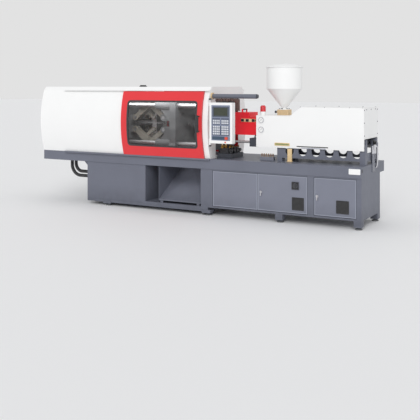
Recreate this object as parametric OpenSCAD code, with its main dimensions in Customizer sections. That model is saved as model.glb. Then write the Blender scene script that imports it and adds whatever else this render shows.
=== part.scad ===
// Horizontal injection moulding machine with a double toggle clamp.
// +X runs from the clamp end to the hopper end, -Y is the operator's side and +Z is up.
// The origin is on the floor, under the middle of the bed.

/* [Bed] */
// Length of the bed
bed_l = 4600; // [4500:10:4700]
// Width of the bed
bed_w = 900; // [880:10:940]
// Height of the bed's top above the floor
bed_top = 700; // [680:5:730]
// Depth of the bed beams
bed_h = 125; // [105:5:140]
// Width of one bed beam
beam_w = 90; // [80:5:100]
// Wall of the beams, the base and the cabinet
wall = 6; // [4:1:8]
// Width of one hardened way
way_w = 40; // [30:2:50]
// Thickness of the ways
way_t = 12; // [8:1:16]

/* [Base] */
// Overhang of the bed at the clamp end
overhang = 768; // [700:4:800]
// Front to back depth of the base
base_d = 715; // [680:5:760]
// Step from the bed's front to the base's front
base_step = 10; // [4:1:16]
// Where the clamp base ends and the cabinet begins
base_joint_x = 349; // [330:1:370]
// Width of the open bay
bay_w = 831; // [780:1:850]
// Column between the bay and the cabinet
bay_post = 98; // [80:2:120]
// Height of the bay's sill
bay_sill = 105; // [90:1:130]
// Height of the levelling feet
foot_h = 28; // [20:1:36]
// Height of the cabinet's floor
cabinet_floor = 100; // [90:2:115]

/* [Cabinet doors] */
// Width of the post left of the doors
post_a = 71; // [60:1:90]
// Width of the left leaf
leaf_l_w = 606; // [560:2:620]
// Width of the right leaf
leaf_r_w = 626; // [600:2:640]
// Width of the post between the double doors and the end door
post_b = 88; // [70:1:100]
// Width of the post at the right end
post_c = 63; // [50:1:80]
// Height of the doors
leaf_h = 428; // [400:2:440]
// Height of the doors' lower edge
leaf_z = 126; // [122:1:140]
// Thickness of a door
leaf_t = 20; // [16:1:26]
// Gap round a door
reveal = 5; // [4:0.5:7]
// Side of a square vent
vent_w = 140; // [120:5:160]

/* [Clamp] */
// Height of the machine's axis above the floor
axis_z = 1100; // [1090:5:1120]
// Mould face of the fixed platen
fixed_x = 115; // [100:1:125]
// Thickness of the fixed platen
fixed_t = 160; // [140:2:170]
// Opening between the platens at rest
daylight = 305; // [280:1:320]
// Width of the platens
platen_w = 660; // [650:5:690]
// Height of the platens
platen_h = 640; // [630:2:660]
// Thickness of the moving platen's plate
moving_t = 90; // [70:2:110]
// Distance from the moving platen's face to its pins
moving_pin_d = 280; // [270:2:300]
// Thickness of the tail platen
tail_t = 170; // [140:2:190]
// Distance from the tail platen's face to its pins
tail_pin_d = 90; // [80:1:100]
// Radius of a tie bar
tie_r = 32; // [28:0.5:34]
// Half the distance between the tie bars, across
tie_y = 260; // [255:1:265]
// Half the distance between the tie bars, up
tie_z = 250; // [245:1:255]
// Radius of the locating bore
locate_r = 50; // [40:1:62]
// Depth of the locating bore
locate_d = 20; // [15:1:25]
// Spacing of the mould bolts
bolt_s = 280; // [260:5:300]
// Radius of the mould bolt holes
bolt_r = 8; // [6:0.5:10]

/* [Toggle] */
// Length of a toggle link between its pins
link_l = 280; // [270:2:286]
// Travel of the moving platen from rest until the mould is locked
close_s = 110; // [90:1:140]
// Height of the link pins above and below the axis
pin_z = 80; // [78:1:84]
// Radius of a link's eye
eye_r = 42; // [38:0.5:44]
// Radius of the link pins
pin_r = 22; // [18:0.5:24]
// Distance of the crosshead link's pin along the rear link
lug_d = 150; // [146:1:154]
// Radius of the crosshead link's eye
small_eye_r = 28; // [25:0.5:29]
// Radius of the crosshead pins
small_pin_r = 16; // [13:0.5:18]
// Thickness of the crosshead
cross_t = 70; // [60:1:76]
// Radius of the clamp cylinder's bore
clamp_bore_r = 70; // [60:1:74]
// Radius of the clamp cylinder's rod
clamp_rod_r = 30; // [24:1:34]

/* [Covers] */
// Height of the covers above the bed
cover_h = 890; // [860:5:900]
// Bulge of the covers and the doors
bulge = 70; // [50:1:72]
// Thickness of the cover sheet
sheet_t = 4; // [3:0.5:6]
// Left edge of the safety doors
door_x = -897; // [-905:1:-885]
// Width of the safety doors
door_w = 1212; // [1190:2:1214]
// Height of the safety doors
door_h = 826; // [800:2:830]
// Thickness of a safety door
door_t = 25; // [20:1:28]
// Width of a safety door beside its window at the clamp end
stile_l = 98; // [80:1:110]
// Width of a safety door beside its window at the handle
stile_r = 68; // [60:1:80]
// Height of a safety door's window
window_h = 580; // [540:2:600]

/* [Control panel] */
// Width of the control panel
panel_w = 310; // [290:2:320]
// Height of the control panel
panel_h = 490; // [470:2:510]
// Depth of the control panel
panel_d = 90; // [80:2:96]

/* [Injection unit] */
// Left end of the injection cover
hood_x = 932; // [925:1:940]
// Length of the injection cover
hood_l = 1343; // [1320:1:1350]
// Width of the injection cover
hood_w = 544; // [536:2:560]
// Height of the injection cover's lower edge
hood_z = 862; // [856:1:870]
// Height of the injection cover's low roof
hood_low_z = 1244; // [1236:2:1250]
// Height of the injection cover's high roof
hood_high_z = 1350; // [1320:2:1370]
// Radius of the barrel
barrel_r = 48; // [42:1:52]
// Radius of the screw
screw_r = 20; // [16:0.5:24]
// Radius of the nozzle
nozzle_r = 22; // [18:0.5:26]
// Rest place of the nozzle's tip
nozzle_x = 400; // [395:1:410]
// Position of the hopper along the machine
hopper_x = 1186; // [1180:1:1195]
// Radius of the hopper
hopper_r = 218; // [200:2:230]
// Height of the hopper's straight wall
hopper_h = 268; // [240:2:290]
// Height of the hopper's cone
hopper_cone = 240; // [220:2:260]
// Wall of the hopper
hopper_t = 3; // [2:0.5:4]
// Radius of the carriage guide rods
guide_r = 20; // [16:0.5:22]

/* [Hidden] */
$fn = 48;
gap = 0.3;
fit = 0.05;
end_x = bed_l / 2;
front_y = -bed_w / 2;
bed_z = bed_top - bed_h;
base_x = -end_x + overhang;
base_y = front_y + base_step;
base_back = base_y + base_d;
bay_x = base_joint_x - bay_post - bay_w;
way_z = bed_top + way_t;
way_y0 = bed_w / 2 - beam_w + 5;
foot_y = way_y0 + way_w + 5;
plate_t = 10;
lug_w = 120;
leg_w = 90;
base_foot_x = [base_x + 333, base_joint_x - 24];
cabinet_foot_x = [(base_joint_x + end_x) / 2 - 20, end_x - leg_w / 2];
foot_rows = [base_y + 45, base_back - 45];
drop_x0 = -1170;
drop_x1 = 60;
chute_x0 = bay_x + 200;
chute_x1 = bay_x + bay_w - 12;

// The doors of the cabinet
leaf_y = base_y + 3;
door_a_x = base_joint_x + post_a;
door_m_x = door_a_x + leaf_l_w + reveal;
door_n_x = door_m_x + leaf_r_w;
door_b_x = door_n_x + post_b;
door_c_x = end_x - post_c;
pivot_in = 8;
pivot_r = 4;
pivot_l = 12;
latch_r = 11;
latch_z = leaf_z + 218;
latch_a_x = door_m_x + 44;
latch_b_x = door_b_x + 35;
switch_x = door_n_x - 142;
switch_z = leaf_z + leaf_h - 108;
switch_w = 90;
vent_a_x = switch_x - 40;
vent_b_x = door_c_x - vent_w - 86;

// The toggle at rest: fold is the angle of the links, and knee and lug are their pins
lock_angle = 1.5;
open_angle = 66.85;
fold = acos(1 - close_s / (2 * link_l));
moving_x = fixed_x - daylight;
moving_back = moving_x - moving_t;
fixed_back = fixed_x + fixed_t;
platen_pin_x = moving_x - moving_pin_d;
tail_pin_x = platen_pin_x - 2 * link_l * cos(fold);
tail_x = tail_pin_x - tail_pin_d;
tail_back = tail_x - tail_t;
knee_x = tail_pin_x + link_l * cos(fold);
knee_z = axis_z + pin_z + link_l * sin(fold);
lug_x = tail_pin_x + lug_d * cos(fold);
lug_z = axis_z + pin_z + lug_d * sin(fold);
cross_x = tail_pin_x + 2 * lug_d * cos(fold);
cross_shut = 2 * lug_d * (cos(lock_angle) - cos(fold));
cross_open = 2 * lug_d * (cos(fold) - cos(open_angle));
// Planes of the links, from the middle outwards
cross_y = 79;
small_y = [cross_y + 1, cross_y + 30];
inner_y = [small_y[1] + 1, small_y[1] + 25];
single_y = [inner_y[1] + 0.5, inner_y[1] + 31.5];
outer_y = [single_y[1] + 0.5, single_y[1] + 22.5];
pin_y = outer_y[1] + 2;
web_z = [small_eye_r + 2, eye_r];
guide_bar_r = 12;
guide_bar_y = 60;
sleeve_l = 325;
sleeve_r = tie_r + 26;
nut_t = 60;
nut_r = tie_r + 28;
tie_end = 10;
eject_r = 16;
eject_bore_r = 30;
eject_l = 200;
eject_s = 100;
piston_t = 60;
gland_t = 30;
clamp_cyl_l = gland_t + 15 + cross_shut + piston_t + cross_open + 48;

// The covers: their sides are arcs round an axis at cover_y and cover_mid
bevel = 45;
roof_z = bed_top + cover_h;
cover_z = roof_z - bevel;
cover_mid = (bed_top + cover_z) / 2;
half_chord = (cover_z - bed_top) / 2;
cover_r = (half_chord * half_chord + bulge * bulge) / (2 * bulge);
cover_y = front_y - bulge + cover_r;
door_gap = 2;
door_z = bed_top + 5;
door_end = door_x + door_w;
door_run = 1000;
door_rim = 18;
lap = 27;
guard_x0 = door_end + 3;
guard_x1 = 390;
window_w = door_w - stile_l - stile_r;
window_x = door_x + stile_l + window_w / 2;
window_z = bed_top + 420;
window_r = 40;
window_t = 5;
handle_x = door_end - 30;
bracket_y = front_y + 10;
handle_z = [1030, 1240];
handle_y = front_y - bulge - 62;
hinge_x = guard_x1 + 25;
hinge_y = front_y - 50;
hinge_r = 8;
hinge_z = [870, 1440];
panel_x = hinge_x + 45;
panel_y = hinge_y - 10;
panel_z = 910;
face_x = panel_x + 30;
face_y = panel_y - panel_d;
face_z = panel_z + 35;
face_w = panel_w - 55;
face_h = panel_h - 65;
face_t = 6;
stop_x = face_x + face_w - 45;
stop_z = face_z + 30;
stop_r = 8;
arm_y = front_y + 50;
arm_z = 1475;
arm_r = 28;
arm_end = 1018;

// The injection unit
shell_t = 2;
hood_y = hood_w / 2;
hood_end = hood_x + hood_l;
slope_x = [hood_x + 444, hood_x + 580];
casting_l = 1085;
casting_x = end_x - 15 - casting_l;
casting_y = 250;
casting_z = 742;
casting_h = 188;
casting_t = 15;
post_l = 65;
guide_y = 200;
guide_z = 955;
guide_x1 = casting_x + casting_l;
seat_end = guide_x1 - 85;
slider_x = [casting_x + 340, seat_end - 120];
beam_y = [150, 170];
beam_z = [1000, 1060];
barrel_x = nozzle_x + 120;
housing_x = 1090;
housing_l = 200;
housing_z = [990, 1230];
drive_x = 1750;
drive_s = 150;
carriage_s = 250;
cyl_y = -195;
cyl_z = 910;
cyl_x = [830, 1180];
cyl_r = 40;
cyl_rod_r = 15;
throat_r = 28;
lamp_x = 990;
lamp_y = -200;
lamp_r = 37;
flange_z = hood_low_z + 66;
neck_h = 16;
hopper_top = neck_h + hopper_cone + hopper_h;
hose_y = -200;
hose_r = 22.5;
hose_sleeve = 6;
hose_x = [base_x - 468, base_x - 398];
hose_z = [340, 400];
hose_bend = [150, 110];
tank_l = 560;
motor_l = 320;
motor_gap = 80;
guard_step = 204;
block_l = 110;

// A 2D shape in Y and Z, run along X
module along_x(x0, x1) translate([x0, 0, 0]) rotate([90, 0, 90]) linear_extrude(x1 - x0) children();

// A 2D shape in X and Z, run along Y
module along_y(y0, y1) translate([0, y1, 0]) rotate([90, 0, 0]) linear_extrude(y1 - y0) children();

// Round bars along X and Y
module bar_x(x0, x1, y, z, r) translate([x0, y, z]) rotate([0, 90, 0]) cylinder(h = x1 - x0, r = r);
module bar_y(y0, y1, x, z, r) translate([x, y1, z]) rotate([90, 0, 0]) cylinder(h = y1 - y0, r = r);

module block(x0, x1, y0, y1, z0, z1) translate([x0, y0, z0]) cube([x1 - x0, y1 - y0, z1 - z0]);

module both_sides() for (i = [0, 1]) mirror([0, i, 0]) children();
module above_and_below() {
    children();
    translate([0, 0, 2 * axis_z]) mirror([0, 0, 1]) children();
}

// A closed box section
module box_tube(x0, x1, y0, y1, z0, z1, t) difference() {
    block(x0, x1, y0, y1, z0, z1);
    block(x0 + t, x1 - t, y0 + t, y1 - t, z0 + t, z1 - t);
}

module round_rect(w, h, r) {
    square([w - 2 * r, h], center = true);
    square([w, h - 2 * r], center = true);
    for (i = [-1, 1]) for (j = [-1, 1]) translate([i * (w / 2 - r), j * (h / 2 - r)]) circle(r);
}

// The welded base under the clamp, with its open bay and the gusset under the overhang
module clamp_base() color("slategray") {
    difference() {
        block(base_x, base_joint_x, base_y, base_back, foot_h + 17, bed_z);
        block(base_x + wall, bay_x - wall, base_y + wall, base_back - wall, bay_sill, bed_z - wall);
        block(bay_x, bay_x + bay_w, base_y - 1, base_back - wall, bay_sill, bed_z + 1);
        block(bay_x + bay_w + wall, base_joint_x - wall, base_y + wall, base_back - wall, bay_sill,
            bed_z - wall);
        block(base_x - 1, bay_x - 20, base_y - 1, base_y + 2, bay_sill - 22, bay_sill - 19);
    }
    for (x = base_foot_x) for (y = [base_y - 6, base_back - 84])
        block(x - lug_w / 2, x + lug_w / 2, y, y + 90, foot_h, foot_h + 40);
    along_y(base_y + 30, base_y + 42)
        polygon([[base_x - 80, bed_z], [base_x + 1, bed_z], [base_x + 1, bed_z - 80]]);
}

module leaf_opening(x0, x1)
    block(x0 - reveal, x1 + reveal, base_y - 1, leaf_y + leaf_t + 13, leaf_z - reveal,
        leaf_z + leaf_h + reveal);

// The pins that a cabinet door turns on, in the frame above and below it
module leaf_pins(x) for (z = [leaf_z - reveal - 1, leaf_z + leaf_h - pivot_l])
    translate([x, leaf_y + pivot_in, z]) cylinder(h = reveal + pivot_l + 1, r = pivot_r);

module cabinet() color("slategray") {
    difference() {
        block(base_joint_x, end_x, base_y, base_back, cabinet_floor, bed_z);
        block(base_joint_x + wall, end_x - wall, leaf_y + leaf_t + 12, base_back - wall, cabinet_floor + wall,
            bed_z - wall);
        leaf_opening(door_a_x, door_n_x);
        leaf_opening(door_b_x, door_c_x);
    }
    for (x = cabinet_foot_x) for (y = [base_y, base_back - leg_w])
        block(x - leg_w / 2, x + leg_w / 2, y, y + leg_w, foot_h, cabinet_floor + 1);
    leaf_pins(door_a_x + pivot_in);
    leaf_pins(door_n_x - pivot_in);
    leaf_pins(door_c_x - pivot_in);
}

// A pressed door, thick round its edges, with the holes for its pins
module leaf(x0, x1, pivot_x) difference() {
    block(x0, x1, leaf_y, leaf_y + leaf_t, leaf_z, leaf_z + leaf_h);
    block(x0 + 26, x1 - 26, leaf_y + 3, leaf_y + leaf_t + 1, leaf_z + 26, leaf_z + leaf_h - 26);
    for (z = [leaf_z - 1, leaf_z + leaf_h - pivot_l - 1])
        translate([pivot_x, leaf_y + pivot_in, z]) cylinder(h = pivot_l + 2, r = pivot_r + fit);
}

// The slots of a square vent whose lower left corner is at x and z
module louvres(x, z) for (i = [0 : 7]) translate([0, 0, z + 10 + i * (vent_w - 12) / 8])
    block(x + 8, x + vent_w - 8, leaf_y - 1, leaf_y + 4, 0, 9);

module cabinet_door_left() color("slategray") leaf(door_a_x, door_a_x + leaf_l_w, door_a_x + pivot_in);

module cabinet_door_right() color("slategray") difference() {
    union() {
        leaf(door_m_x, door_n_x, door_n_x - pivot_in);
        block(switch_x - switch_w / 2, switch_x + switch_w / 2, leaf_y - 12, leaf_y + 1,
            switch_z - switch_w / 2, switch_z + switch_w / 2);
    }
    louvres(vent_a_x, leaf_z + 40);
    bar_y(leaf_y - 1, leaf_y + 9, latch_a_x, latch_z, latch_r + fit);
    bar_y(leaf_y - 13, leaf_y + 4, switch_x, switch_z, latch_r + fit);
}

module cabinet_door_end() color("slategray") difference() {
    leaf(door_b_x, door_c_x, door_c_x - pivot_in);
    louvres(vent_b_x, leaf_z + 44);
    bar_y(leaf_y - 1, leaf_y + 9, latch_b_x, latch_z, latch_r + fit);
}

// A quarter turn latch: its spindle, its head, its wing and its cam behind the door
module latch(x) color("silver") {
    bar_y(leaf_y - 4, leaf_y + 8, x, latch_z, latch_r);
    bar_y(leaf_y - 6, leaf_y - gap, x, latch_z, 17);
    block(x - 7, x + 7, leaf_y - 18, leaf_y - 5, latch_z - 45, latch_z + 17);
    block(x - 6, x + 6, leaf_y + 4, leaf_y + 8, latch_z - 5, latch_z + 24);
}
module door_latch() latch(latch_a_x);
module end_door_latch() latch(latch_b_x);

module switch_knob() color("dimgray") {
    bar_y(leaf_y - 14, leaf_y, switch_x, switch_z, latch_r);
    bar_y(leaf_y - 24, leaf_y - 12 - gap, switch_x, switch_z, 28);
    block(switch_x - 7, switch_x + 7, leaf_y - 38, leaf_y - 23, switch_z - 26, switch_z + 26);
}

module levelling_feet() color("dimgray") for (x = concat(base_foot_x, cabinet_foot_x)) for (y = foot_rows)
    translate([x, y, 0]) {
        cylinder(h = 10, r = 40);
        translate([0, 0, 10]) cylinder(h = 8, r1 = 40, r2 = 18);
        cylinder(h = foot_h, r = 15);
    }

// The bed: two long box beams, cross members, its top plates and the rails of the safety doors
module bed_frame() color("slategray") {
    both_sides() box_tube(-end_x, end_x, front_y, front_y + beam_w, bed_z, bed_top, wall);
    for (x = [-end_x, end_x - beam_w])
        box_tube(x, x + beam_w, front_y + beam_w, -front_y - beam_w, bed_z, bed_top, wall);
    for (x = [drop_x0 - beam_w, drop_x1, base_joint_x - 40])
        box_tube(x, x + beam_w, front_y + beam_w, -front_y - beam_w, bed_z, bed_top - plate_t, wall);
    block(-end_x + beam_w, drop_x0 - 1, front_y + beam_w, -front_y - beam_w, bed_top - plate_t, bed_top);
    block(base_joint_x - 39, end_x - beam_w, front_y + beam_w, -front_y - beam_w, bed_top - plate_t, bed_top);
    both_sides() along_x(door_x - door_run - 10, guard_x1) {
        translate([front_y - 27, bed_top - 16]) square([28, 16 - gap]);
        translate([front_y - 27, bed_top - 16]) square([21, door_z - gap - bed_top + 16]);
    }
}

module bed_ways() color("silver") both_sides()
    block(tail_back - 60, fixed_back + 40, -way_y0 - way_w, -way_y0, bed_top, way_z);

// The sheet chute under the mould, folded into four slopes that meet at the back, and its two sides
module drop_chute() color("slategray") {
    mid_x = (chute_x0 + chute_x1) / 2;
    lip_y = base_y + 16;
    back_y = base_back - wall - 20;
    lip_z = bay_sill + 40;
    top_z = bed_z - gap;
    sheet = [0, 4, -6];
    top = [[chute_x0, lip_y, lip_z], [chute_x1, lip_y, lip_z], [chute_x1, back_y, top_z - 4],
        [chute_x0, back_y, top_z - 4], [mid_x, back_y - 260, lip_z + 300]];
    polyhedron(points = concat(top, [for (p = top) p + sheet]),
        faces = [[1, 0, 4], [2, 1, 4], [3, 2, 4], [0, 3, 4], [5, 6, 9], [6, 7, 9], [7, 8, 9], [8, 5, 9],
            [0, 1, 6, 5], [1, 2, 7, 6], [2, 3, 8, 7], [3, 0, 5, 8]]);
    for (x = [chute_x0 - 3, chute_x1 - 1]) block(x, x + 4, lip_y, back_y, lip_z - 10, top_z);
    block(chute_x0, chute_x1, lip_y - 3, lip_y + 1, lip_z - 12, lip_z + 6);
    for (x = [chute_x0 + 20, chute_x1 - 60]) block(x, x + 40, lip_y + 3, lip_y + 9, bay_sill, lip_z - 3);
}

// The tank, the motor and the pump inside the cabinet
module power_unit() color("gray") {
    z0 = cabinet_floor + wall;
    tank_x = base_joint_x + 90;
    motor_x = tank_x + tank_l + motor_gap;
    block(tank_x, tank_x + tank_l, base_y + 110, base_back - 60, z0, z0 + 210);
    translate([tank_x + tank_l / 2, base_y + 350, z0 + 209]) {
        cylinder(h = 26, r = 60);
        cylinder(h = 60, r = 30);
    }
    for (x = [motor_x, motor_x + motor_l - 90]) block(x, x + 60, base_y + 240, base_y + 440, z0, z0 + 60);
    difference() {
        bar_x(motor_x, motor_x + motor_l, base_y + 340, z0 + 160, 118);
        for (a = [0 : 20 : 340]) translate([motor_x + 30, base_y + 340, z0 + 160]) rotate([a, 0, 0])
            translate([0, -3, 106]) cube([motor_l - 80, 6, 20]);
    }
    bar_x(tank_x + tank_l - 1, motor_x + 1, base_y + 340, z0 + 160, 48);
}

// The outline of a platen, with its feet on the ways
module platen_outline(z) {
    translate([0, axis_z]) round_rect(platen_w, platen_h, 30);
    polygon([[foot_y - 140, z], [foot_y, z], [foot_y, z + 30],
        [platen_w / 2 - 5, axis_z - platen_h / 2 + 90], [5 - platen_w / 2, axis_z - platen_h / 2 + 90],
        [-foot_y, z + 30], [-foot_y, z], [140 - foot_y, z], [140 - foot_y, axis_z - platen_h / 2 + 1],
        [foot_y - 140, axis_z - platen_h / 2 + 1]]);
}

module at_tie_bars(x0, x1, r) for (i = [-1, 1]) for (j = [-1, 1])
    bar_x(x0, x1, i * tie_y, axis_z + j * tie_z, r);

module at_mould_bolts(x0, x1) for (i = [-1, 1]) for (j = [-1, 1])
    bar_x(x0, x1, i * bolt_s / 2, axis_z + j * bolt_s / 2, bolt_r);

module fixed_platen() color("dimgray") difference() {
    along_x(fixed_x, fixed_back) platen_outline(way_z);
    at_tie_bars(fixed_x - 1, fixed_back + 1, tie_r + fit);
    at_mould_bolts(fixed_x - 1, fixed_x + 36);
    bar_x(fixed_x - 1, fixed_x + locate_d, 0, axis_z, locate_r);
    translate([fixed_x + locate_d - 1, 0, axis_z]) rotate([0, 90, 0]) rotate_extrude()
        polygon([[0, 0], [nozzle_r + 8, 0], [nozzle_r + 8, fixed_t / 2 - locate_d],
            [barrel_r + 28, fixed_t - locate_d + 2], [0, fixed_t - locate_d + 2]]);
}

module tail_platen() color("dimgray") {
    difference() {
        union() {
            along_x(tail_back, tail_x) platen_outline(way_z);
            above_and_below() both_sides() along_y(single_y[0], single_y[1]) {
                translate([tail_pin_x, axis_z + pin_z]) circle(eye_r);
                translate([tail_x - 1, axis_z + pin_z - eye_r]) square([tail_pin_d + 1, 2 * eye_r]);
            }
        }
        at_tie_bars(tail_back - 1, tail_x + 1, tie_r + fit);
        bar_x(tail_back - 1, tail_x + 1, 0, axis_z, clamp_rod_r + fit);
        above_and_below() bar_y(-pin_y, pin_y, tail_pin_x, axis_z + pin_z, pin_r + fit);
        for (i = [-1, 1]) bar_x(tail_x - 40, tail_x + 1, i * guide_bar_y, axis_z, guide_bar_r);
    }
    for (i = [-1, 1])
        bar_x(tail_x - 41, tail_pin_x + 2 * lug_d + cross_t / 2 + 15, i * guide_bar_y, axis_z, guide_bar_r);
}

// Pins through the eyes of the toggle, one on each side
module eye_pins(x, z) both_sides() bar_y(inner_y[0] - 0.5, pin_y, x, z, pin_r);
module eye_holes(x, z) bar_y(-pin_y, pin_y, x, z, pin_r + fit);

module moving_platen() color("dimgray") difference() {
    union() {
        along_x(moving_back, moving_x) platen_outline(way_z + gap);
        at_tie_bars(moving_x - sleeve_l, moving_x - 1, sleeve_r);
        above_and_below() both_sides() for (y = [inner_y, outer_y]) along_y(y[0], y[1]) {
            translate([platen_pin_x, axis_z + pin_z]) circle(eye_r);
            polygon([[platen_pin_x, axis_z + pin_z - eye_r], [platen_pin_x, axis_z + pin_z + eye_r],
                [moving_back + 1, axis_z + pin_z + eye_r + 110], [moving_back + 1, axis_z + pin_z - eye_r]]);
        }
        above_and_below() both_sides() along_y(tie_y - 12, tie_y + 12)
            polygon([[moving_back + 1, axis_z - 1], [moving_back + 1, axis_z + tie_z],
                [moving_x - sleeve_l + 50, axis_z + tie_z], [moving_x - sleeve_l + 50, axis_z + tie_z - 50]]);
    }
    at_tie_bars(moving_x - sleeve_l - 1, moving_x + 1, tie_r + 2 * gap);
    at_mould_bolts(moving_x - 36, moving_x + 1);
    bar_x(moving_back - 1, moving_x + 1, 0, axis_z, eject_r + fit);
    above_and_below() eye_holes(platen_pin_x, axis_z + pin_z);
}

module tie_bars() color("silver")
    at_tie_bars(tail_back - nut_t - tie_end, fixed_back + nut_t + tie_end, tie_r);

module tie_bar_nuts() color("dimgray") for (x = [tail_back - nut_t, fixed_back]) difference() {
    at_tie_bars(x, x + nut_t, nut_r);
    at_tie_bars(x - 1, x + nut_t + 1, tie_r + fit);
}

module tail_pins() color("silver") above_and_below() eye_pins(tail_pin_x, axis_z + pin_z);
module platen_pins() color("silver") above_and_below() eye_pins(platen_pin_x, axis_z + pin_z);

// A link drawn along X from its first pin, turned up by a and set at x and z
module placed(x, z, a) translate([x, 0, z]) rotate([0, -a, 0]) children();

// The side of a link: an eye at each end and a bar of height h
module link_side(l, r, h) {
    circle(r);
    translate([l, 0]) circle(r);
    translate([0, -h / 2]) square([l, h]);
}

// The rear link: four side plates tied by a web along their outer edge, and its own pins
module rear_link() {
    difference() {
        union() {
            both_sides() for (y = [inner_y, outer_y]) along_y(y[0], y[1]) {
                link_side(link_l, eye_r, 2 * eye_r - 20);
                translate([100, 0]) square([120, web_z[1]]);
            }
            block(100, 220, -outer_y[1], outer_y[1], web_z[0], web_z[1]);
        }
        eye_holes(0, 0);
        eye_holes(link_l, 0);
        bar_y(-inner_y[1] - 0.2, inner_y[1] + 0.2, lug_d, 0, small_pin_r + fit);
    }
    eye_pins(link_l, 0);
    both_sides() bar_y(small_y[0], inner_y[1], lug_d, 0, small_pin_r);
}
module front_link() difference() {
    union() {
        both_sides() along_y(single_y[0], single_y[1]) link_side(link_l, eye_r, 2 * eye_r - 24);
        block(120, 180, -single_y[0] - 1, single_y[0] + 1, -12, 12);
    }
    eye_holes(0, 0);
    eye_holes(link_l, 0);
}
module crosshead_link() difference() {
    both_sides() along_y(small_y[0], small_y[1]) link_side(lug_d, small_eye_r, 2 * small_eye_r - 12);
    for (x = [0, lug_d]) bar_y(-pin_y, pin_y, x, 0, small_pin_r + fit);
}
module lower() translate([0, 0, 2 * axis_z]) mirror([0, 0, 1]) children();

module upper_rear_link() color("gray") placed(tail_pin_x, axis_z + pin_z, fold) rear_link();
module lower_rear_link() lower() upper_rear_link();
module upper_front_link() color("gray") placed(knee_x, knee_z, -fold) front_link();
module lower_front_link() lower() upper_front_link();
module upper_crosshead_link() color("gray") placed(lug_x, lug_z, -fold) crosshead_link();
module lower_crosshead_link() lower() upper_crosshead_link();

module crosshead() color("silver") {
    difference() {
        along_y(-cross_y, cross_y) translate([cross_x, axis_z]) round_rect(cross_t, 2 * pin_z + 90, 12);
        for (i = [-1, 1])
            bar_x(cross_x - cross_t, cross_x + cross_t, i * guide_bar_y, axis_z, guide_bar_r + fit);
    }
    above_and_below() both_sides() bar_y(cross_y - 1, small_y[1], cross_x, axis_z + pin_z, small_pin_r);
}

module clamp_cylinder() color("dimgray") difference() {
    union() {
        bar_x(tail_back - clamp_cyl_l, tail_back, 0, axis_z, clamp_bore_r + 20);
        bar_x(tail_back - 28, tail_back, 0, axis_z, clamp_bore_r + 45);
        bar_x(tail_back - clamp_cyl_l, tail_back - clamp_cyl_l + 36, 0, axis_z, clamp_bore_r + 34);
    }
    bar_x(tail_back - clamp_cyl_l + 36, tail_back - gland_t, 0, axis_z, clamp_bore_r);
    bar_x(tail_back - gland_t - 1, tail_back + 1, 0, axis_z, clamp_rod_r + fit);
}

module clamp_rod() color("silver") {
    piston_x = tail_back - gland_t - 15 - cross_shut;
    bar_x(piston_x - 1, cross_x - cross_t / 2, 0, axis_z, clamp_rod_r);
    bar_x(piston_x - piston_t, piston_x, 0, axis_z, clamp_bore_r - fit);
}

module ejector_cylinder() color("dimgray") difference() {
    bar_x(moving_back - eject_l, moving_back, 0, axis_z, eject_bore_r + 12);
    bar_x(moving_back - eject_l + 10, moving_back - 12, 0, axis_z, eject_bore_r);
    bar_x(moving_back - 13, moving_back + 1, 0, axis_z, eject_r + fit);
}

module ejector_rod() color("silver") {
    piston_x = moving_back - eject_l + 15;
    bar_x(piston_x, moving_x - 5, 0, axis_z, eject_r);
    bar_x(piston_x + 10, piston_x + 35, 0, axis_z, eject_bore_r - fit);
}

// The curved section of the covers on the operator's side, a to b outside the cover's radius
module curved(a, b, z0, z1) intersection() {
    translate([cover_y, cover_mid]) difference() {
        circle(cover_r + b, $fn = 360);
        circle(cover_r + a, $fn = 360);
    }
    translate([front_y - bulge - 50, z0]) square([bulge + 110, z1 - z0]);
}

module roof_outline(t) polygon([[front_y + 1.4 * t, cover_z], [front_y + bevel + 0.4 * t, roof_z - t],
    [-front_y - bevel - 0.4 * t, roof_z - t], [-front_y - 1.4 * t, cover_z]]);

// The outline of an end wall that stands t inside the covers
module end_outline(t) {
    intersection() {
        translate([cover_y, cover_mid]) circle(cover_r - t, $fn = 360);
        translate([-cover_y, cover_mid]) circle(cover_r - t, $fn = 360);
        translate([front_y - bulge, bed_top]) square([bed_w + 2 * bulge, cover_z - bed_top]);
    }
    roof_outline(t);
}

module side_covers() color("white") {
    both_sides() along_x(-end_x, door_x + lap) curved(-sheet_t, 0, bed_top, cover_z);
    along_x(-end_x, -end_x + sheet_t) end_outline(sheet_t + gap);
}

// The roof sheet, with the rails that cap the safety doors
module top_cover() color("white") {
    along_x(-end_x, guard_x1) difference() {
        roof_outline(0);
        roof_outline(sheet_t);
    }
    both_sides() along_x(door_x - door_run - 10, guard_x1) {
        translate([front_y - 34, cover_z]) square([37, 3]);
        translate([front_y - 37, cover_z - 7]) square([3, 10]);
    }
}

// The cover beside the fixed platen, with its end wall and the hinge of the control panel
module platen_guard() color("white") {
    both_sides() along_x(guard_x0, guard_x1) curved(-sheet_t, 0, bed_top, cover_z);
    along_x(guard_x1 - sheet_t, guard_x1) difference() {
        end_outline(sheet_t + gap);
        translate([front_y + 140, bed_top + 40]) square([bed_w - 280, 690]);
    }
    for (z = hinge_z) {
        block(guard_x1 - 1, hinge_x, hinge_y - 14, bracket_y, z - 5, z + 5);
        translate([hinge_x, hinge_y, z - 5]) cylinder(h = 10, r = 14);
    }
    translate([hinge_x, hinge_y, hinge_z[0]]) cylinder(h = hinge_z[1] - hinge_z[0], r = hinge_r);
    translate([hinge_x, hinge_y, hinge_z[0]]) cylinder(h = panel_z + 5 - gap - hinge_z[0], r = 14);
}

module overhead_arm() color("gray") {
    bar_x(guard_x1, guard_x1 + 14, arm_y, arm_z, arm_r + 14);
    bar_x(guard_x1, arm_end - arm_r / 2, arm_y, arm_z, arm_r);
    bar_x(arm_end - arm_r / 2 - 1, arm_end, arm_y, arm_z, arm_r - 5);
}

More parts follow.
